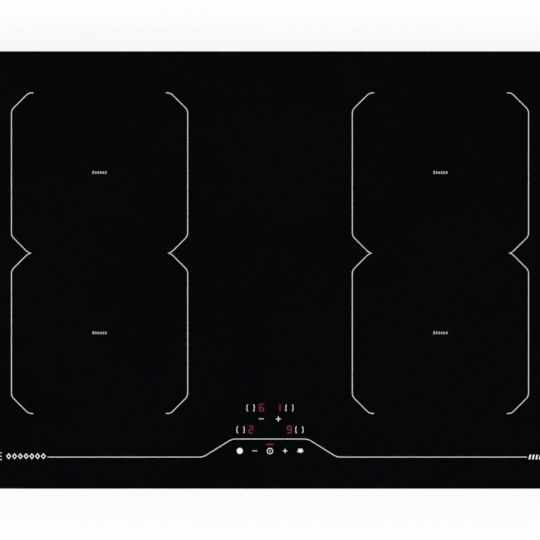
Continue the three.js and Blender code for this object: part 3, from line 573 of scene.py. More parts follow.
def build_zone_marks():
    """Each zone's two brackets, round its coil, and a small mark of slanted ticks at its centre."""
    rear, front = Box("coil_winding_rear_left"), Box("coil_winding_front_left")
    half_width = rear.width / 2 + 6.7
    half_depth = (rear.y - front.y) / 2
    chamfer, stub, bend = 20.4, 25.8, 9.5
    tick_pitch, tick_width, lean = 3.0, 1.7, 0.35
    for row, side in PLACES:
        coil = Box(f"coil_winding_{row}_{side}")
        bm = bmesh.new()
        for way in (-1, 1):
            edge = coil.x + way * half_width
            ends = [
                (edge - way * stub, half_depth), (edge - way * chamfer, half_depth),
                (edge, half_depth - chamfer),
            ]
            line = [(x, coil.y + y) for x, y in ends] + [(x, coil.y - y) for x, y in reversed(ends)]
            stroke(bm, rounded_corners(line, bend), LINE_WIDTH)
        piece(f"zone_mark_{row}_{side}", bm, "print_grey")
        bm = bmesh.new()
        for tick, x in enumerate(spaced(6, tick_pitch)):
            tall = 2.4 if tick == 0 else 1.8
            stroke(bm, [(coil.x + x - lean, coil.y - 0.9), (coil.x + x + lean, coil.y + tall)], tick_width)
        piece(f"zone_centre_mark_{row}_{side}", bm, "print_dim")


# Where the control line's ends lie.
LEVEL = GLASS.y0 + 37.75


def build_control_line():
    """The long line that rises over the touch keys in the middle."""
    raised = GLASS.y0 + 59.2
    left_end, right_end, rise_foot, rise_top, bend = -264.4, 305.3, 79.4, 45.1, 16.0
    line = [
        (left_end, LEVEL), (-rise_foot, LEVEL), (-rise_top, raised),
        (rise_top, raised), (rise_foot, LEVEL), (right_end, LEVEL),
    ]
    bm = bmesh.new()
    stroke(bm, rounded_corners(line, bend, 8), LINE_WIDTH)
    piece("control_line", bm, "print_grey")


def build_end_marks():
    """Plain shapes at the control line's ends: lozenges and dots on the left, slanted bars on the right."""
    row = LEVEL + 1.0
    bm = bmesh.new()
    for i in range(7):
        x = -310.4 + 6.87 * i
        lozenge = ((-2.3, 0.0), (0.0, -2.8), (2.3, 0.0), (0.0, 2.8))
        stroke(bm, [(x + px, row + py) for px, py in lozenge], 1.0, closed=True)
    for step in (-1, 0, 1):
        prism(bm, circle(-319.6, row + 4 * step, 0.7, 20))
    piece("left_end_marks", bm, "print_white")
    lean, half_height = 0.8, 2.7
    bm = bmesh.new()
    for i in range(8):
        x = 308.8 + 4.1 * i
        stroke(bm, [(x - lean, LEVEL - half_height), (x + lean, LEVEL + half_height)], 1.8)
    piece("right_end_marks", bm, "print_white")


# The outline of a small dish on a jagged foot, round its own middle.
DISH = (
    (-2.9, 2.5), (2.9, 2.5), (1.9, 0.7), (4.3, -0.5), (2.1, -0.9), (2.0, -2.4), (1.0, -1.4),
    (0.0, -2.8), (-1.0, -1.4), (-2.0, -2.4), (-2.1, -0.9), (-4.3, -0.5), (-1.9, 0.7),
)


def add_bracket_pair(bm, x, y):
    """A pair of small brackets, the same shape as a zone's own marks."""
    for way in (-1, 1):
        edge = x + way * 4.35
        inner = edge - way * 1.1
        line = [(inner, y + 3.6), (edge, y + 2.3), (edge, y - 3.0), (inner, y - 4.3)]
        stroke(bm, rounded_corners(line, 1.2, 4), 0.7)


def build_key_symbols():
    """The symbols over the touch keys, in rows that line up with the displays."""
    rear_y, front_y = Box("display_rear_right").y, Box("display_front_right").y
    timer_y, key_y = rear_y - 13.3, front_y - 25.4
    bm = bmesh.new()
    for way in (-1, 1):
        add_bracket_pair(bm, way * 23.05, rear_y)
        add_bracket_pair(bm, way * 35.0, front_y)
    prism(bm, plus_outline(10.0, timer_y - 0.2, 2.8, 0.475))
    prism(bm, plus_outline(18.0, key_y, 2.6, 0.45))
    stroke(bm, circle(0, key_y - 0.2, 3.25), 0.8, closed=True)
    stroke(bm, [(0, key_y - 1.6), (0, key_y + 1.2)], 0.6)
    prism(bm, circle(-35.9, key_y, 3.6, 40))
    prism(bm, [(36.1 + x, key_y + y) for x, y in DISH])
    piece("key_symbols", bm, "print_white")
    bm = bmesh.new()
    for x, y in ((-10.3, timer_y), (-18.1, key_y)):
        prism(bm, round_rectangle(5.8, 1.4, 0.3, 3, x, y))
    piece("minus_symbols", bm, "print_dim")


# The bars of a digit, in halves of its width and height: top, upper right, lower right, bottom,
# lower left, upper left, middle.
SEGMENTS = (
    ((-1, 1), (1, 1)), ((1, 1), (1, 0)), ((1, 0), (1, -1)), ((-1, -1), (1, -1)),
    ((-1, 0), (-1, -1)), ((-1, 1), (-1, 0)), ((-1, 0), (1, 0)),
)

# How far each digit stands to the right on its display, and which of its bars are lit.
DIGITS = {
    "rear_left": (0.6, (1, 0, 1, 1, 1, 1, 1)),
    "rear_right": (-1.2, (0, 1, 1, 0, 0, 0, 0)),
    "front_left": (0.0, (1, 1, 0, 1, 1, 0, 1)),
    "front_right": (0.2, (1, 1, 1, 1, 0, 1, 1)),
}


def add_digit(bm, x, y, half_width, half_height, width, bars=SEGMENTS, low=PRINT_LOW, high=PRINT_HIGH):
    """Bars of a digit, with pointed ends that stay just short of their neighbours'."""
    gap = 0.1
    for ends in bars:
        a, b = (Vector((x + half_width * u, y + half_height * v)) for u, v in ends)
        along = (b - a).normalized()
        a, b = a + along * gap, b - along * gap
        across = Vector((-along.y, along.x)) * (width / 2)
        tip = along * (width / 2)
        outline = [a, a + tip - across, b - tip - across, b, b - tip + across, a + tip + across]
        prism(bm, [(point.x, point.y) for point in outline], low, high)


def add_halo(name, x, y, width, depth):
    """The red light that spreads in the glass round a lit segment."""
    outline = [(x + px * width / 2, y + py * depth / 2) for px, py in circle(0, 0, 1, 40)]
    bm = bmesh.new()
    prism(bm, outline, high=PRINT_HIGH - PRINT_DEPTH / 2)
    piece(name, bm, "halo")


def build_digits():
    """The four red digits and the red bar, which shine through the glass over their displays."""
    half_width, half_height, spread = 2.25, 4.0, 3.8
    for place, (shift, lit) in DIGITS.items():
        display = Box(f"display_{place}")
        middle = display.x + shift
        bars = [ends for on, ends in zip(lit, SEGMENTS) if on]
        bm = bmesh.new()
        add_digit(bm, middle, display.y, half_width, half_height, 0.9, bars)
        piece(f"digit_{place}", bm, "digit")
        columns = [middle + half_width * u for ends in bars for u, _ in ends]
        left, right = min(columns), max(columns)
        add_halo(
            f"digit_halo_{place}", (left + right) / 2, display.y,
            right - left + 2 * spread, 2 * (half_height + spread),
        )
    bar_y = Box("display_front_right").y - 17.7
    bm = bmesh.new()
    stroke(bm, [(-3.8, bar_y), (3.8, bar_y)], 0.95)
    piece("bar_segment", bm, "bar")
    add_halo("bar_halo", 0.0, bar_y, 15.0, 6.5)


# ---- seal, tray and what is on it
def build_seal():
    """The foam tape under the glass's edge, with eased edges."""
    box = Box("rim_seal")
    width, edge = 8.0, 0.35
    low, high = box.z0, box.z1
    section = [
        (0.0, low + edge), (0.0, high - edge), (edge, high), (width - edge, high),
        (width, high - edge), (width, low + edge), (width - edge, low), (edge, low),
    ]
    bm = bmesh.new()
    loft(bm, inset_loops(section, box.width, box.depth, 5.0, least=0.6), closed=True)
    piece("foam_seal", bm, "seal", "rim_seal")


# The tray's sheet, the radius of the bend round its floor, and that of its upright corners.
SHEET, FOLD, CORNER = 1.0, 2.0, 4.0


class SheetFace:
    """One flat face of the tray: its outline, its holes, and the stiffening beads pressed into it.

    place(u, v, w) sets a point of the face in the frame, w inwards.
    """

    # Each bead's side, as its inset and its share of the bead's depth.
    BEAD_SIDE = ((0.0, 0.0), (0.5, 0.15), (1.3, 0.55), (2.1, 0.9), (2.9, 1.0))
    BEAD_DEPTH = 1.1

    def __init__(self, outline, place):
        self.outline, self.place = outline, place
        self.holes, self.beads = [], []

    def bead(self, u, v, width, height):
        """Adds a bead, as its outline at each step of its side."""
        self.beads.append([
            slot_outline(u, v, width - 2 * inset, height - 2 * inset, steps=5) for inset, _ in self.BEAD_SIDE
        ])

    def build(self, bm):
        openings = self.holes + [bead[0] for bead in self.beads]
        pierced(bm, self.outline, openings, lambda u, v: self.place(u, v, 0.0))
        for bead in self.beads:
            loops = [
                [self.place(u, v, self.BEAD_DEPTH * share) for u, v in outline]
                for outline, (_, share) in zip(bead, self.BEAD_SIDE)
            ]
            loft(bm, loops, caps=False)
            patch(bm, loops[-1])


def grille_holes(x, y):
    """The slots over a fan's inlet, in a round field that a bridge crosses."""
    reach, slot, half_bridge = 34.0, 5.0, 3.0
    holes = []
    for offset in spaced(8, 8.5):
        far = math.sqrt(reach**2 - offset**2)
        for way in (-1, 1):
            middle = way * (half_bridge + far) / 2
            holes.append(slot_outline(x + offset, y + middle, slot, far - half_bridge))
    return holes


def tray_floor():
    """The tray's floor: fan grilles, vents under the heatsinks, the terminal opening and beads."""
    outline = round_rectangle(TRAY.width - 2 * FOLD, TRAY.depth - 2 * FOLD, CORNER - FOLD, 6)
    floor = SheetFace(outline, lambda u, v, w: (u, v, w))
    for side in SIDES:
        fan = Box(f"fan_impeller_{side}")
        floor.holes += grille_holes(fan.x, fan.y)
        heatsink = Box(f"heatsink_{side}")
        floor.holes += [slot_outline(heatsink.x + x, heatsink.y, 5.0, 60.0) for x in spaced(5, 14.0)]
        board = Box(f"power_board_{side}")
        for x in (-75.0, 75.0):
            floor.bead(board.x + x, board.y - 2.0, 10.0, 120.0)
    cover, play = Box("terminal_cover"), 0.5
    floor.holes.append(slot_outline(cover.x, cover.y, cover.width + 2 * play, cover.depth + 2 * play, 1.5))
    for x in (-72.0, 0.0, 72.0):
        floor.bead(x, -45.0, 10.0, 170.0)
    return floor


def tray_screws():
    """Each tray screw's number, whether it lies front to rear, its way outwards, and its box."""
    for number in range(1, 7):
        box = Box(f"tray_screw_{number}")
        lengthwise = number <= 4
        yield number, lengthwise, 1 if (box.y if lengthwise else box.x) > 0 else -1, box


def tray_walls():
    """The tray's four walls, with their vents, spring slots, screw holes and the lead's hole."""
    def outline(length):
        half = length / 2 - CORNER
        return [(-half, FOLD), (half, FOLD), (half, TRAY.z1), (-half, TRAY.z1)]

    long_wall, end_wall = outline(TRAY.width), outline(TRAY.depth)
    front = SheetFace(long_wall, lambda u, v, w: (u, TRAY.y0 + w, v))
    rear = SheetFace(long_wall, lambda u, v, w: (u, TRAY.y1 - w, v))
    left = SheetFace(end_wall, lambda u, v, w: (TRAY.x0 + w, u, v))
    right = SheetFace(end_wall, lambda u, v, w: (TRAY.x1 - w, u, v))
    vent_z, vent_width, vent_height, vent_pitch = 22.0, 5.0, 20.0, 12.0
    for side in SIDES:
        x = Box(f"power_board_{side}").x
        for wall, count in ((front, 14), (rear, 7)):
            for offset in spaced(count, vent_pitch):
                wall.holes.append(slot_outline(x + offset, vent_z, vent_width, vent_height))
    middle, bead_height = (TRAY.z1 + FOLD) / 2, 9.0
    front.bead(0.0, middle - 2.0, 170.0, bead_height)
    rear.bead(-60.0, middle - 2.0, 110.0, bead_height)
    for wall, side in ((left, "left"), (right, "right")):
        for row in ROWS:
            spring = Box(f"side_spring_{row}_{side}")
            for z, height, round_off in ((8.625, 2.55, 0.5), (34.5, 9.0, 1.0)):
                wall.holes.append(slot_outline(spring.y, z, spring.depth + 1.0, height, round_off))
        wall.bead(0.0, middle - 6.0, 220.0, bead_height)
    walls = {(True, -1): front, (True, 1): rear, (False, -1): left, (False, 1): right}
    screw_hole, lead_hole = 2.35, 7.25
    for _, lengthwise, out, screw in tray_screws():
        along = screw.x if lengthwise else screw.y
        walls[lengthwise, out].holes.append(circle(along, screw.z, screw_hole, 16))
    grommet = Box("cable_grommet")
    rear.holes.append(circle(grommet.x, grommet.z, lead_hole))
    return list(walls.values())


def build_tray():
    """The tray as one folded and pressed sheet: its outer skin, given its thickness inwards."""
    bm = bmesh.new()
    for face in (tray_floor(), *tray_walls()):
        face.build(bm)
    angles = [math.radians(90 * step / 6) for step in range(7)]
    bend = [(FOLD * (1 - math.sin(angle)), FOLD * (1 - math.cos(angle))) for angle in angles]
    loops = inset_loops(bend, TRAY.width, TRAY.depth, CORNER, 6)
    loft(bm, loops, caps=False)
    per_corner = 7
    for first in range(0, 4 * per_corner, per_corner):
        arc = loops[-1][first:first + per_corner]
        for a, b in zip(arc, arc[1:]):
            patch(bm, (a, b, (b[0], b[1], TRAY.z1), (a[0], a[1], TRAY.z1)))
    weld(bm)
    face_outwards(bm)
    bmesh.ops.solidify(bm, geom=bm.faces, thickness=SHEET)
    piece("folded_tray", bm, "tray_steel", "base_tray", square_flat=True)


def build_standoffs():
    """The hexagonal standoffs that carry the boards on the tray's floor, each with a screw on top."""
    from_edge = 8.0
    screw_head = [(3.2, 0.0), (3.2, 0.7), (2.4, 1.5), (0.0, 1.8)]
    bm = bmesh.new()
    for name in ("power_board_left", "power_board_right", "filter_board"):
        board = Box(name)
        for sx in (-1, 1):
            for sy in (-1, 1):
                x = board.x + sx * (board.width / 2 - from_edge)
                y = board.y + sy * (board.depth / 2 - from_edge)
                prism(bm, circle(x, y, 3.9, 6), SHEET, board.z0 - 0.2)
                lathe(bm, screw_head, standing(x, y, board.z1 + 0.05), 16)
    piece("board_standoffs", bm, "zinc_steel")


# The height of a screw's head above the sheet it holds.
HEAD = 2.45


def add_screw(bm, place):
    """A pan-head screw along its own axis: a thread below, and a domed head with a cross recess above."""
    head = [(1.9, 0.0), (2.0, 0.25), (4.0, 0.25), (4.0, 0.9), (3.8, 1.5), (3.3, 2.05), (2.6, HEAD)]
    thread = [(0.4, -8.0), (1.0, -7.4), (1.7, -6.5)]
    for turn in range(8):
        thread += [(2.0, -6.0 + 0.7 * turn), (1.6, -5.65 + 0.7 * turn)]
    loops = [[place(x, y, height) for x, y in circle(0, 0, radius, 24)] for radius, height in thread + head]
    loft(bm, loops, caps=False)
    patch(bm, loops[0])
    cross = plus_outline(0, 0, 1.75, 0.38)
    pierced(bm, circle(0, 0, 2.6, 24), [cross], lambda u, v: place(u, v, HEAD))
    mouth = [place(x, y, HEAD) for x, y in cross]
    foot = [place(0.75 * x, 0.75 * y, 1.15) for x, y in cross]
    loft(bm, [mouth, foot], caps=False)
    patch(bm, foot)
    weld(bm)


def build_screws():
    """The six screws that hold the frame in the tray, each square to its wall."""
    for number, lengthwise, out, box in tray_screws():
        if lengthwise:
            wall = (box.y1 if out > 0 else box.y0) - out * HEAD
            place = lambda u, v, h: (box.x + u, wall + out * h, box.z + v)
        else:
            wall = (box.x1 if out > 0 else box.x0) - out * HEAD
            place = lambda u, v, h: (wall + out * h, box.y + u, box.z + v)
        bm = bmesh.new()
        add_screw(bm, place)
        piece(f"pan_screw_{number}", bm, "zinc_steel", f"tray_screw_{number}")


def build_side_springs():
    """The bent leaves with a rounded belly that centre the hob in its cut-out."""
    sheet, wall = 0.8, TRAY.width / 2
    for row, side in PLACES:
        node = f"side_spring_{row}_{side}"
        box = Box(node)
        belly = max(abs(box.x0), abs(box.x1)) - sheet / 2 - 0.2
        # From the hook inside the wall, out through the lower slot, over the belly, in through the upper one.
        line = rounded_corners(
            [
                (wall - 3.0, 14.0), (wall - 3.0, 8.0), (wall + 1.5, 8.0), (belly, 27.0),
                (wall + 1.0, 34.5), (wall - 4.0, 36.5),
            ],
            2.0,
        )
        bm = bmesh.new()
        way = SIDES[side]
        sheet_strip(bm, line, box.depth, sheet, lambda u, v, w: (way * u, box.y + w, v))
        edges = [e for e in bm.edges if len(e.link_faces) == 2 and e.calc_face_angle(0) > 1.2]
        bmesh.ops.bevel(bm, geom=edges, offset=0.12, segments=1, affect="EDGES")
        piece(f"leaf_{row}_{side}", bm, "spring_steel", node, body=node)


def build_grommet():
    """The rubber bush that lines the lead's hole, with a round lip on each side of the wall."""
    box = Box("cable_grommet")
    outer, groove, bore = 9.0, 7.0, 5.5
    inner_face, outer_face = TRAY.y1 - 1.25, TRAY.y1 + 0.25
    profile = [
        (bore, box.y0 + 0.8), (bore + 0.8, box.y0), (outer - 1.0, box.y0), (outer, box.y0 + 0.9),
        (outer, inner_face), (groove, inner_face), (groove, outer_face), (outer, outer_face),
        (outer, outer_face + 0.6), (outer - 0.9, box.y1 - 0.5), (outer - 2.0, box.y1),
        (bore + 0.7, box.y1), (bore, box.y1 - 0.7),
    ]
    bm = bmesh.new()
    lathe(bm, profile, lambda x, y, h: (box.x + x, h, box.z + y), 40, closed=True)
    piece("lead_bush", bm, "rubber", "cable_grommet")


def build_terminal_lid():
    """The lid under the terminal well: an eased plate with ribs and a hinge barrel."""
    box, pin = Box("terminal_cover"), Box("terminal_hinge_pin")
    front, low, high = pin.y + 3.43, box.z0, box.z0 + 2.0
    profile = [(0.5, low), (0.15, low + 0.15), (0.0, low + 0.5), (0.0, high - 0.3), (0.3, high)]
    bm = bmesh.new()
    loft(bm, inset_loops(profile, box.width, box.y1 - front, 1.4, 5, box.x, (front + box.y1) / 2))
    half = box.width / 2 - 4.5
    web = [(pin.y, low), (front + 0.5, low), (front + 0.5, high), (pin.y, high)]
    loft(bm, [[(box.x + end * half, y, z) for y, z in web] for end in (-1, 1)])
    outer, bore, ease = 2.1, 1.35, 0.2
    barrel = [
        (bore, -half), (outer - ease, -half), (outer, ease - half),
        (outer, half - ease), (outer - ease, half), (bore, half),
    ]
    lathe(bm, barrel, lambda x, y, h: (box.x + h, pin.y + x, pin.z + y), 24, closed=True)
    rib = [
        (front + 4.6, high - 0.2), (box.y1 - 4.0, high - 0.2), (box.y1 - 5.0, box.z1), (front + 6.0, box.z1),
    ]
    for x in spaced(3, 21.0):
        loft(bm, [[(box.x + x + side * 0.75, y, z) for y, z in rib] for side in (-1, 1)])
    piece("terminal_lid", bm, "black_plastic", "terminal_cover", body="terminal_cover")


# ---- coils
def build_winding(key):
    """A flat coil of litz wire, wound from its eye outwards."""
    box = Box(f"coil_winding_{key}")
    eye_width, eye_depth, eye_corner, outer_corner = 60.0, 42.0, 18.0, 60.0
    band = (box.width - eye_width) / 2
    turns, steps = 19, 6
    pitch = band / (turns + 1)
    per_turn = 4 * (steps + 1)
    line = []
    for i in range(turns * per_turn + 1):
        out = pitch / 2 + pitch * i / per_turn
        corner = eye_corner + (outer_corner - eye_corner) * out / band
        outline = round_rectangle(eye_width + 2 * out, eye_depth + 2 * out, corner, steps, box.x, box.y)
        line.append((*outline[i % per_turn], box.z))
    bm = bmesh.new()
    tube(bm, line, 1.9, flatten=0.85)
    piece(f"litz_coil_{key}", bm, "copper", f"coil_winding_{key}", body=f"coil_{key}")


def build_ferrites(key):
    """Six ferrite bars in the pockets under a coil's former, which draw its field together."""
    coil = Box(f"coil_winding_{key}")
    low = Box(f"coil_former_{key}").z0 + 0.2
    inner, outer, width, edge = 26.4, 83.6, 11.4, 0.5
    profile = [(edge, low), (0.0, low + edge), (0.0, low + 2.6), (edge, low + 3.1)]
    bar = inset_loops(profile, outer - inner, width, 0.9, 2, (inner + outer) / 2)
    bm = bmesh.new()
    for i in range(6):
        place = standing(coil.x, coil.y, turn=60 * i)
        loft(bm, [[place(*point) for point in loop] for loop in bar])
    piece(f"ferrite_bars_{key}", bm, "ferrite", body=f"coil_{key}")


def build_sensor(key):
    """A coil's temperature sensor: a moulded body with a soft thermal cap that touches the mica."""
    box = Box(f"temp_sensor_{key}")
    seat = box.z1 - 2.75
    profile = [
        (3.0, box.z0), (7.9, box.z0), (8.5, box.z0 + 0.6), (8.5, seat), (11.5, seat), (12.0, seat + 0.4),
        (12.0, seat + 1.1), (11.6, seat + 1.5), (8.2, seat + 1.5), (8.0, seat + 1.7),
        (8.0, box.z1 - 0.3), (7.7, box.z1), (2.0, box.z1),
    ]
    bm = bmesh.new()
    lathe(bm, profile, standing(box.x, box.y), 32)
    paint_above(bm, seat + 1.55)
    finishes = ["white_plastic", "silicone"]
    piece(f"coil_sensor_{key}", bm, finishes, f"temp_sensor_{key}", body=f"coil_{key}")


def build_leaf_spring(key):
    """The spring under a coil, drawn at rest: a ring on three bent arms. In the hob it flattens as the coil
    is pressed down.
    """
    coil, box = Box(f"coil_winding_{key}"), Box(f"coil_spring_{key}")
    sheet, travel, arm_width = 0.6, 2.0, 8.0
    top = box.z1
    high, low = top - sheet / 2, box.z0 + sheet / 2
    bm = bmesh.new()
    ring = [(12.0, top - sheet), (20.0, top - sheet), (20.0, top), (12.0, top)]
    lathe(bm, ring, standing(coil.x, coil.y), 40, closed=True)
    arm = rounded_corners([(17.0, high), (24.0, high), (57.0, low), (68.0, low)], 8.0)
    for i in range(3):
        place = standing(coil.x, coil.y, turn=30 + 120 * i)
        sheet_strip(bm, arm, arm_width, sheet, lambda u, v, w: place(u, w, v))
    spring = piece(f"leaf_spring_{key}", bm, "spring_steel", f"coil_spring_{key}")
    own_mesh(spring)


def build_coils():
    """Everything that moves with each coil, and the spring under it."""
    for row, side in PLACES:
        for build_one in (build_winding, build_ferrites, build_sensor, build_leaf_spring):
            build_one(f"{row}_{side}")


# ---- boards and what is on them
# The finishes of a board's parts, in the order of their material numbers.
PART_FINISHES = (
    "black_plastic", "white_plastic", "aluminium", "copper", "film_blue", "film_yellow", "zinc_steel",
)
BLACK, WHITE, ALUMINIUM, COPPER, BLUE, YELLOW, ZINC = range(7)

# The gap between a board and what stands on it.
BOARD_GAP = 0.05


def add_can(bm, x, y, z, radius, height):
    """An electrolytic capacitor: a sleeved can with a bead at its foot and a bare, scored top."""
    sleeve = [
        (radius - 0.3, 0.0), (radius, 0.4), (radius, 1.0), (radius - 0.35, 1.4), (radius, 1.8),
        (radius, height - 0.5), (radius - 0.5, height),
    ]
    top = [(radius - 0.8, height), (radius - 0.9, height + 0.15), (0.3, height + 0.15)]
    lathe(bm, sleeve, standing(x, y, z), material=BLACK)
    lathe(bm, top, standing(x, y, z), material=ALUMINIUM)


def add_plug_strip(bm, x, y, z, poles):
    """A white board connector with a slot for each pole."""
    pitch = 2.5
    soft_box(bm, x, y, z, poles * pitch + 2.0, 7.0, 7.5, material=WHITE)
    for offset in spaced(poles, pitch):
        soft_box(bm, x + offset, y, z + 7.45, 1.1, 3.6, 0.1, 0.02, 0.1, BLACK)


def add_wound_ring(bm, x, y, z, radius, reach, rise, turns, wire, gap, detail, materials=(0, 1)):
    """A ring core in two windings of enamelled wire, with a gap of some degrees at each of their ends.

    reach and rise are half the width and half the height of a winding's section. detail is the number of
    points in the core's section, round the ring, in a turn of wire and round the wire.
    """
    core_points, ring_points, turn_points, sides = detail
    core = [(radius + (reach - wire) * c, (rise - wire) * s) for c, s in circle(0, 0, 1, core_points)]
    lathe(bm, core, standing(x, y, z), ring_points, closed=True, material=materials[1])
    steps = turns * turn_points
    for start in (gap, 180 + gap):
        points = []
        for i in range(steps + 1):
            around = math.radians(start + (180 - 2 * gap) * i / steps)
            swept = 2 * math.pi * turns * i / steps
            out = radius + reach * math.cos(swept)
            points.append(
                (x + out * math.cos(around), y + out * math.sin(around), z + rise * math.sin(swept))
            )
        tube(bm, points, wire, sides, materials[0])


def add_small_parts(bm, z, count, x0, x1, y0, y1, seed):
    """Chips, resistors and small capacitors over a region of a board.

    Their places look unordered and are the same in every run.
    """
    across, along = 0.7548776662, 0.5698402910
    chips = (
        (3.2, 1.6, 0.8, 0.15, 0.2, BLACK),
        (1.6, 3.2, 0.9, 0.15, 0.2, ALUMINIUM),
        (5.0, 4.0, 1.5, 0.2, 0.2, BLACK),
    )
    for i in range(count):
        x = x0 + (x1 - x0) * ((seed + across * (i + 1)) % 1.0)
        y = y0 + (y1 - y0) * ((seed + along * (i + 1)) % 1.0)
        if i % 4 < 3:
            soft_box(bm, x, y, z, *chips[i % 4])
        else:
            add_can(bm, x, y, z, 2.0, 5.0)


def build_power_parts():
    """The parts on each power board, round its heatsink and under the coil carrier."""
    for side in SIDES:
        board, heatsink = Box(f"power_board_{side}"), Box(f"heatsink_{side}")
        z = board.z1 + BOARD_GAP
        left = board.x0 + (heatsink.x0 - board.x0) / 2
        right = (heatsink.x1 + board.x1) / 2
        bm = bmesh.new()
        for i in range(3):
            soft_box(bm, left - 14, board.y1 - 30 - 26 * i, z, 40, 20, 22, 1.0, 2.0, YELLOW)
        for i in range(4):
            soft_box(bm, left + 24, board.y1 - 28 - 21 * i, z, 22, 13, 18, 1.0, 2.0, BLUE)
        for i in range(3):
            add_can(bm, left - 26 + 16 * i, board.y0 + 78, z, 6.2, 20.0)
        ring_y, ring_z = board.y0 + 44, z + 4.0 + 0.7
        add_wound_ring(
            bm, left - 16, ring_y, ring_z, 12.0, 4.0, 4.0, 14, 0.7, 14, (16, 48, 10, 5), (COPPER, BLACK)
        )
        add_plug_strip(bm, left + 22, board.y0 + 20, z, 6)
        add_plug_strip(bm, left - 14, board.y0 + 14, z, 4)
        for i in range(4):
            add_plug_strip(bm, right, board.y0 + 34 + 24 * i, z, 5)
        soft_box(bm, right, board.y1 - 36, z, 14, 14, 1.7, 0.2, 0.3, BLACK)
        for i in range(4):
            soft_box(bm, right - 12 + 8 * i, board.y1 - 14, z, 0.8, 6.3, 11.0, 0.2, 0.2, ZINC)
        add_small_parts(bm, z, 14, right - 17, right + 17, board.y0 + 14, board.y0 + 28, 0.3)
        add_small_parts(bm, z, 10, left + 14, left + 34, board.y0 + 34, board.y0 + 62, 0.7)
        piece(f"power_parts_{side}", bm, PART_FINISHES)


def build_filter_parts():
    """The parts on the filter board: suppression capacitors, a relay, a fuse and the lead's plugs."""
    board, choke = Box("filter_board"), Box("filter_choke")
    z = board.z1 + BOARD_GAP
    bm = bmesh.new()
    soft_box(bm, board.x, choke.y0 - 16, z, 32, 14, 20, 1.0, 2.0, YELLOW)
    soft_box(bm, board.x0 + 14, board.y0 + 30, z, 16, 28, 15, 0.8, 1.2, BLACK)
    soft_box(bm, board.x1 - 13, board.y0 + 44, z, 18, 11, 14, 1.0, 2.0, BLUE)
    for x in (-20, 0, 20):
        soft_box(bm, board.x + x, choke.y1 + 12, z, 8, 6, 9, 0.5, 1.0, BLUE)
    for x in (-24, 24):
        add_can(bm, board.x + x, choke.y0 - 2, z, 4.0, 12.0)
    add_small_parts(bm, z, 10, board.x0 + 30, board.x1 - 4, board.y0 + 52, board.y0 + 60, 0.1)
    piece("filter_parts", bm, PART_FINISHES)


def build_choke():
    """The mains choke: a coated ring core in two windings of thick copper wire."""
    box = Box("filter_choke")
    bm = bmesh.new()
    add_wound_ring(bm, box.x, box.y, box.z, 20.0, 6.1, 5.65, 15, 0.75, 12, (20, 56, 12, 6))
    piece("wound_choke", bm, ["copper", "coil_plastic"], "filter_choke")


def build_terminal_screws():
    """The clamping screws of the terminal block, seen from below, one for each pole."""
    block = Box("terminal_block")
    poles, size, face = 5, 0.6, block.z0 + 3.0
    bm = bmesh.new()
    for offset in spaced(poles, block.width / poles):
        x = block.x + offset
        add_screw(bm, lambda u, v, h: (x + size * u, block.y + size * v, face - size * h))
    piece("terminal_screws", bm, "brass")


def build_displays():
    """The digit displays under the glass: a moulded block whose face has seven clear segments."""
    for place in DIGITS:
        node = f"display_{place}"
        box = Box(node)
        bm = bmesh.new()
        soft_box(bm, box.x, box.y, box.z0, box.width, box.depth, box.z1 - box.z0 - 0.1, 0.2, 0.4)
        add_digit(bm, box.x, box.y, 2.35, 4.1, 1.15, low=box.z1 - 0.2, high=box.z1)
        paint_above(bm, box.z1 - 0.05)
        piece(f"display_module_{place}", bm, ["black_plastic", "display"], node)


# ---- studio
WHITE_LIGHT = (1.0, 1.0, 1.0)


def build_world():
    """Soft light from all round, brightest at the horizon and dark overhead, where the glass looks."""
    world = bpy.data.worlds.new("studio")
    bpy.context.scene.world = world
    world.use_nodes = True
    nodes = NodeTree(world.node_tree)
    direction = nodes.add("TexCoord").outputs["Generated"]
    height = nodes.add("SeparateXYZ", {"Vector": direction}).outputs["Z"]
    overhead = nodes.remap(height, 1.0, 0.0, (0.80, 0.95), interpolation_type="SMOOTHSTEP")
    horizon = nodes.remap(height, 1.0, 0.60, (0.05, 0.40), interpolation_type="SMOOTHSTEP")
    seen = nodes.add("LightPath").outputs["Is Camera Ray"]
    strength = nodes.math("MAXIMUM", nodes.math("MULTIPLY", overhead, horizon), seen)
    light = nodes.add("Background", {"Color": WHITE_LIGHT, "Strength": strength})
    nodes.add("OutputWorld", {"Surface": light.outputs["Background"]})


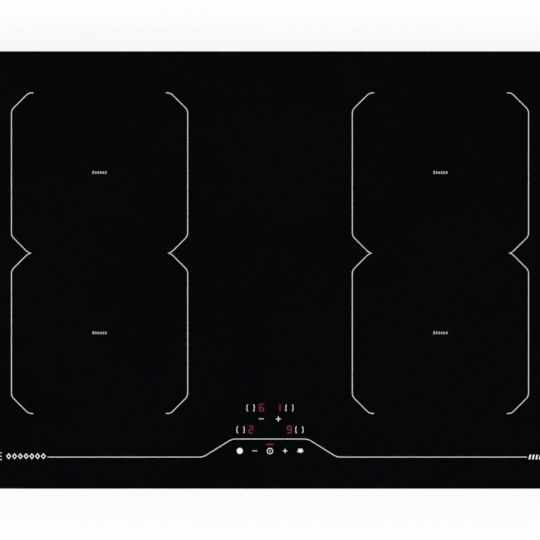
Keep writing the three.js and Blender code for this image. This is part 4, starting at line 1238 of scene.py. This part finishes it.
def build_floor():
    """A pale floor that stays near white to the camera and keeps a soft shadow of the hob."""
    nodes = MaterialTree("pale_floor")
    place = nodes.object_place()
    cloud = nodes.remap(nodes.noise(place, 400.0))
    tone = nodes.blend(cloud, (0.87, 0.87, 0.87), (0.90, 0.90, 0.90))
    matt = nodes.add("BsdfDiffuse", {"Color": tone}).outputs["BSDF"]
    lit = nodes.add("Emission", {"Color": WHITE_LIGHT, "Strength": 1.0}).outputs["Emission"]
    seen = nodes.add("LightPath").outputs["Is Camera Ray"]
    distance = nodes.add("VectorMath", {0: place}, operation="LENGTH").outputs["Value"]
    share = nodes.math("MULTIPLY", seen, nodes.remap(distance, 0.88, 1.0, (0.9, 5.0)))
    mixed = nodes.add("MixShader", {0: share, 1: matt, 2: lit})
    nodes.add("OutputMaterial", {"Surface": mixed.outputs[0]})
    bm = bmesh.new()
    bmesh.ops.create_grid(bm, x_segments=1, y_segments=1, size=18.0)
    mesh = bpy.data.meshes.new("floor")
    bm.to_mesh(mesh)
    bm.free()
    mesh.materials.append(nodes.material)
    floor = new_object("floor", mesh)
    floor.location.z = -0.2 * MM


def add_softbox(name, azimuth, elevation, distance, size, share):
    """A square area light aimed at the hob, which gives a level white surface this share of its light."""
    a, e = math.radians(azimuth), math.radians(elevation)
    way = Vector((math.sin(a) * math.cos(e), -math.cos(a) * math.cos(e), math.sin(e)))
    lamp = bpy.data.lights.new(name, "AREA")
    lamp.shape = "SQUARE"
    lamp.size = size
    lamp.energy = share * math.pi**2 * distance**2 / math.sin(e)
    obj = new_object(name, lamp)
    obj.location = way * distance
    obj.rotation_euler = way.to_track_quat("Z", "Y").to_euler()
    obj.visible_camera = False


def build_lights():
    """Three softboxes, all well off the vertical so that the glass doesn't mirror them upwards."""
    add_softbox("key_light", -50, 52, 2.6, 1.1, 0.30)
    add_softbox("fill_light", 62, 48, 2.8, 1.4, 0.18)
    add_softbox("back_light", 168, 50, 2.8, 1.2, 0.18)


def build_camera():
    """Straight above the glass, as far off as its long lens needs. The lens is long as the view is flat."""
    framed_width = 641.6
    camera = bpy.data.cameras.new("camera")
    camera.lens = 150.0
    camera.sensor_width = 36.0
    camera.clip_start = 0.05
    camera.clip_end = 60.0
    obj = new_object("camera", camera)
    away = framed_width * camera.lens / camera.sensor_width
    obj.location = (GLASS.x * MM, GLASS.y * MM, (GLASS.z1 + away) * MM)
    bpy.context.scene.camera = obj


# ---- all together
for build in (
    dress_frame, build_glass, build_zone_marks, build_control_line, build_end_marks, build_key_symbols,
    build_digits, build_seal, build_tray, build_standoffs, build_screws, build_side_springs, build_grommet,
    build_terminal_lid, build_coils, build_power_parts, build_filter_parts, build_choke,
    build_terminal_screws, build_displays, build_world, build_floor, build_lights, build_camera,
):
    build()
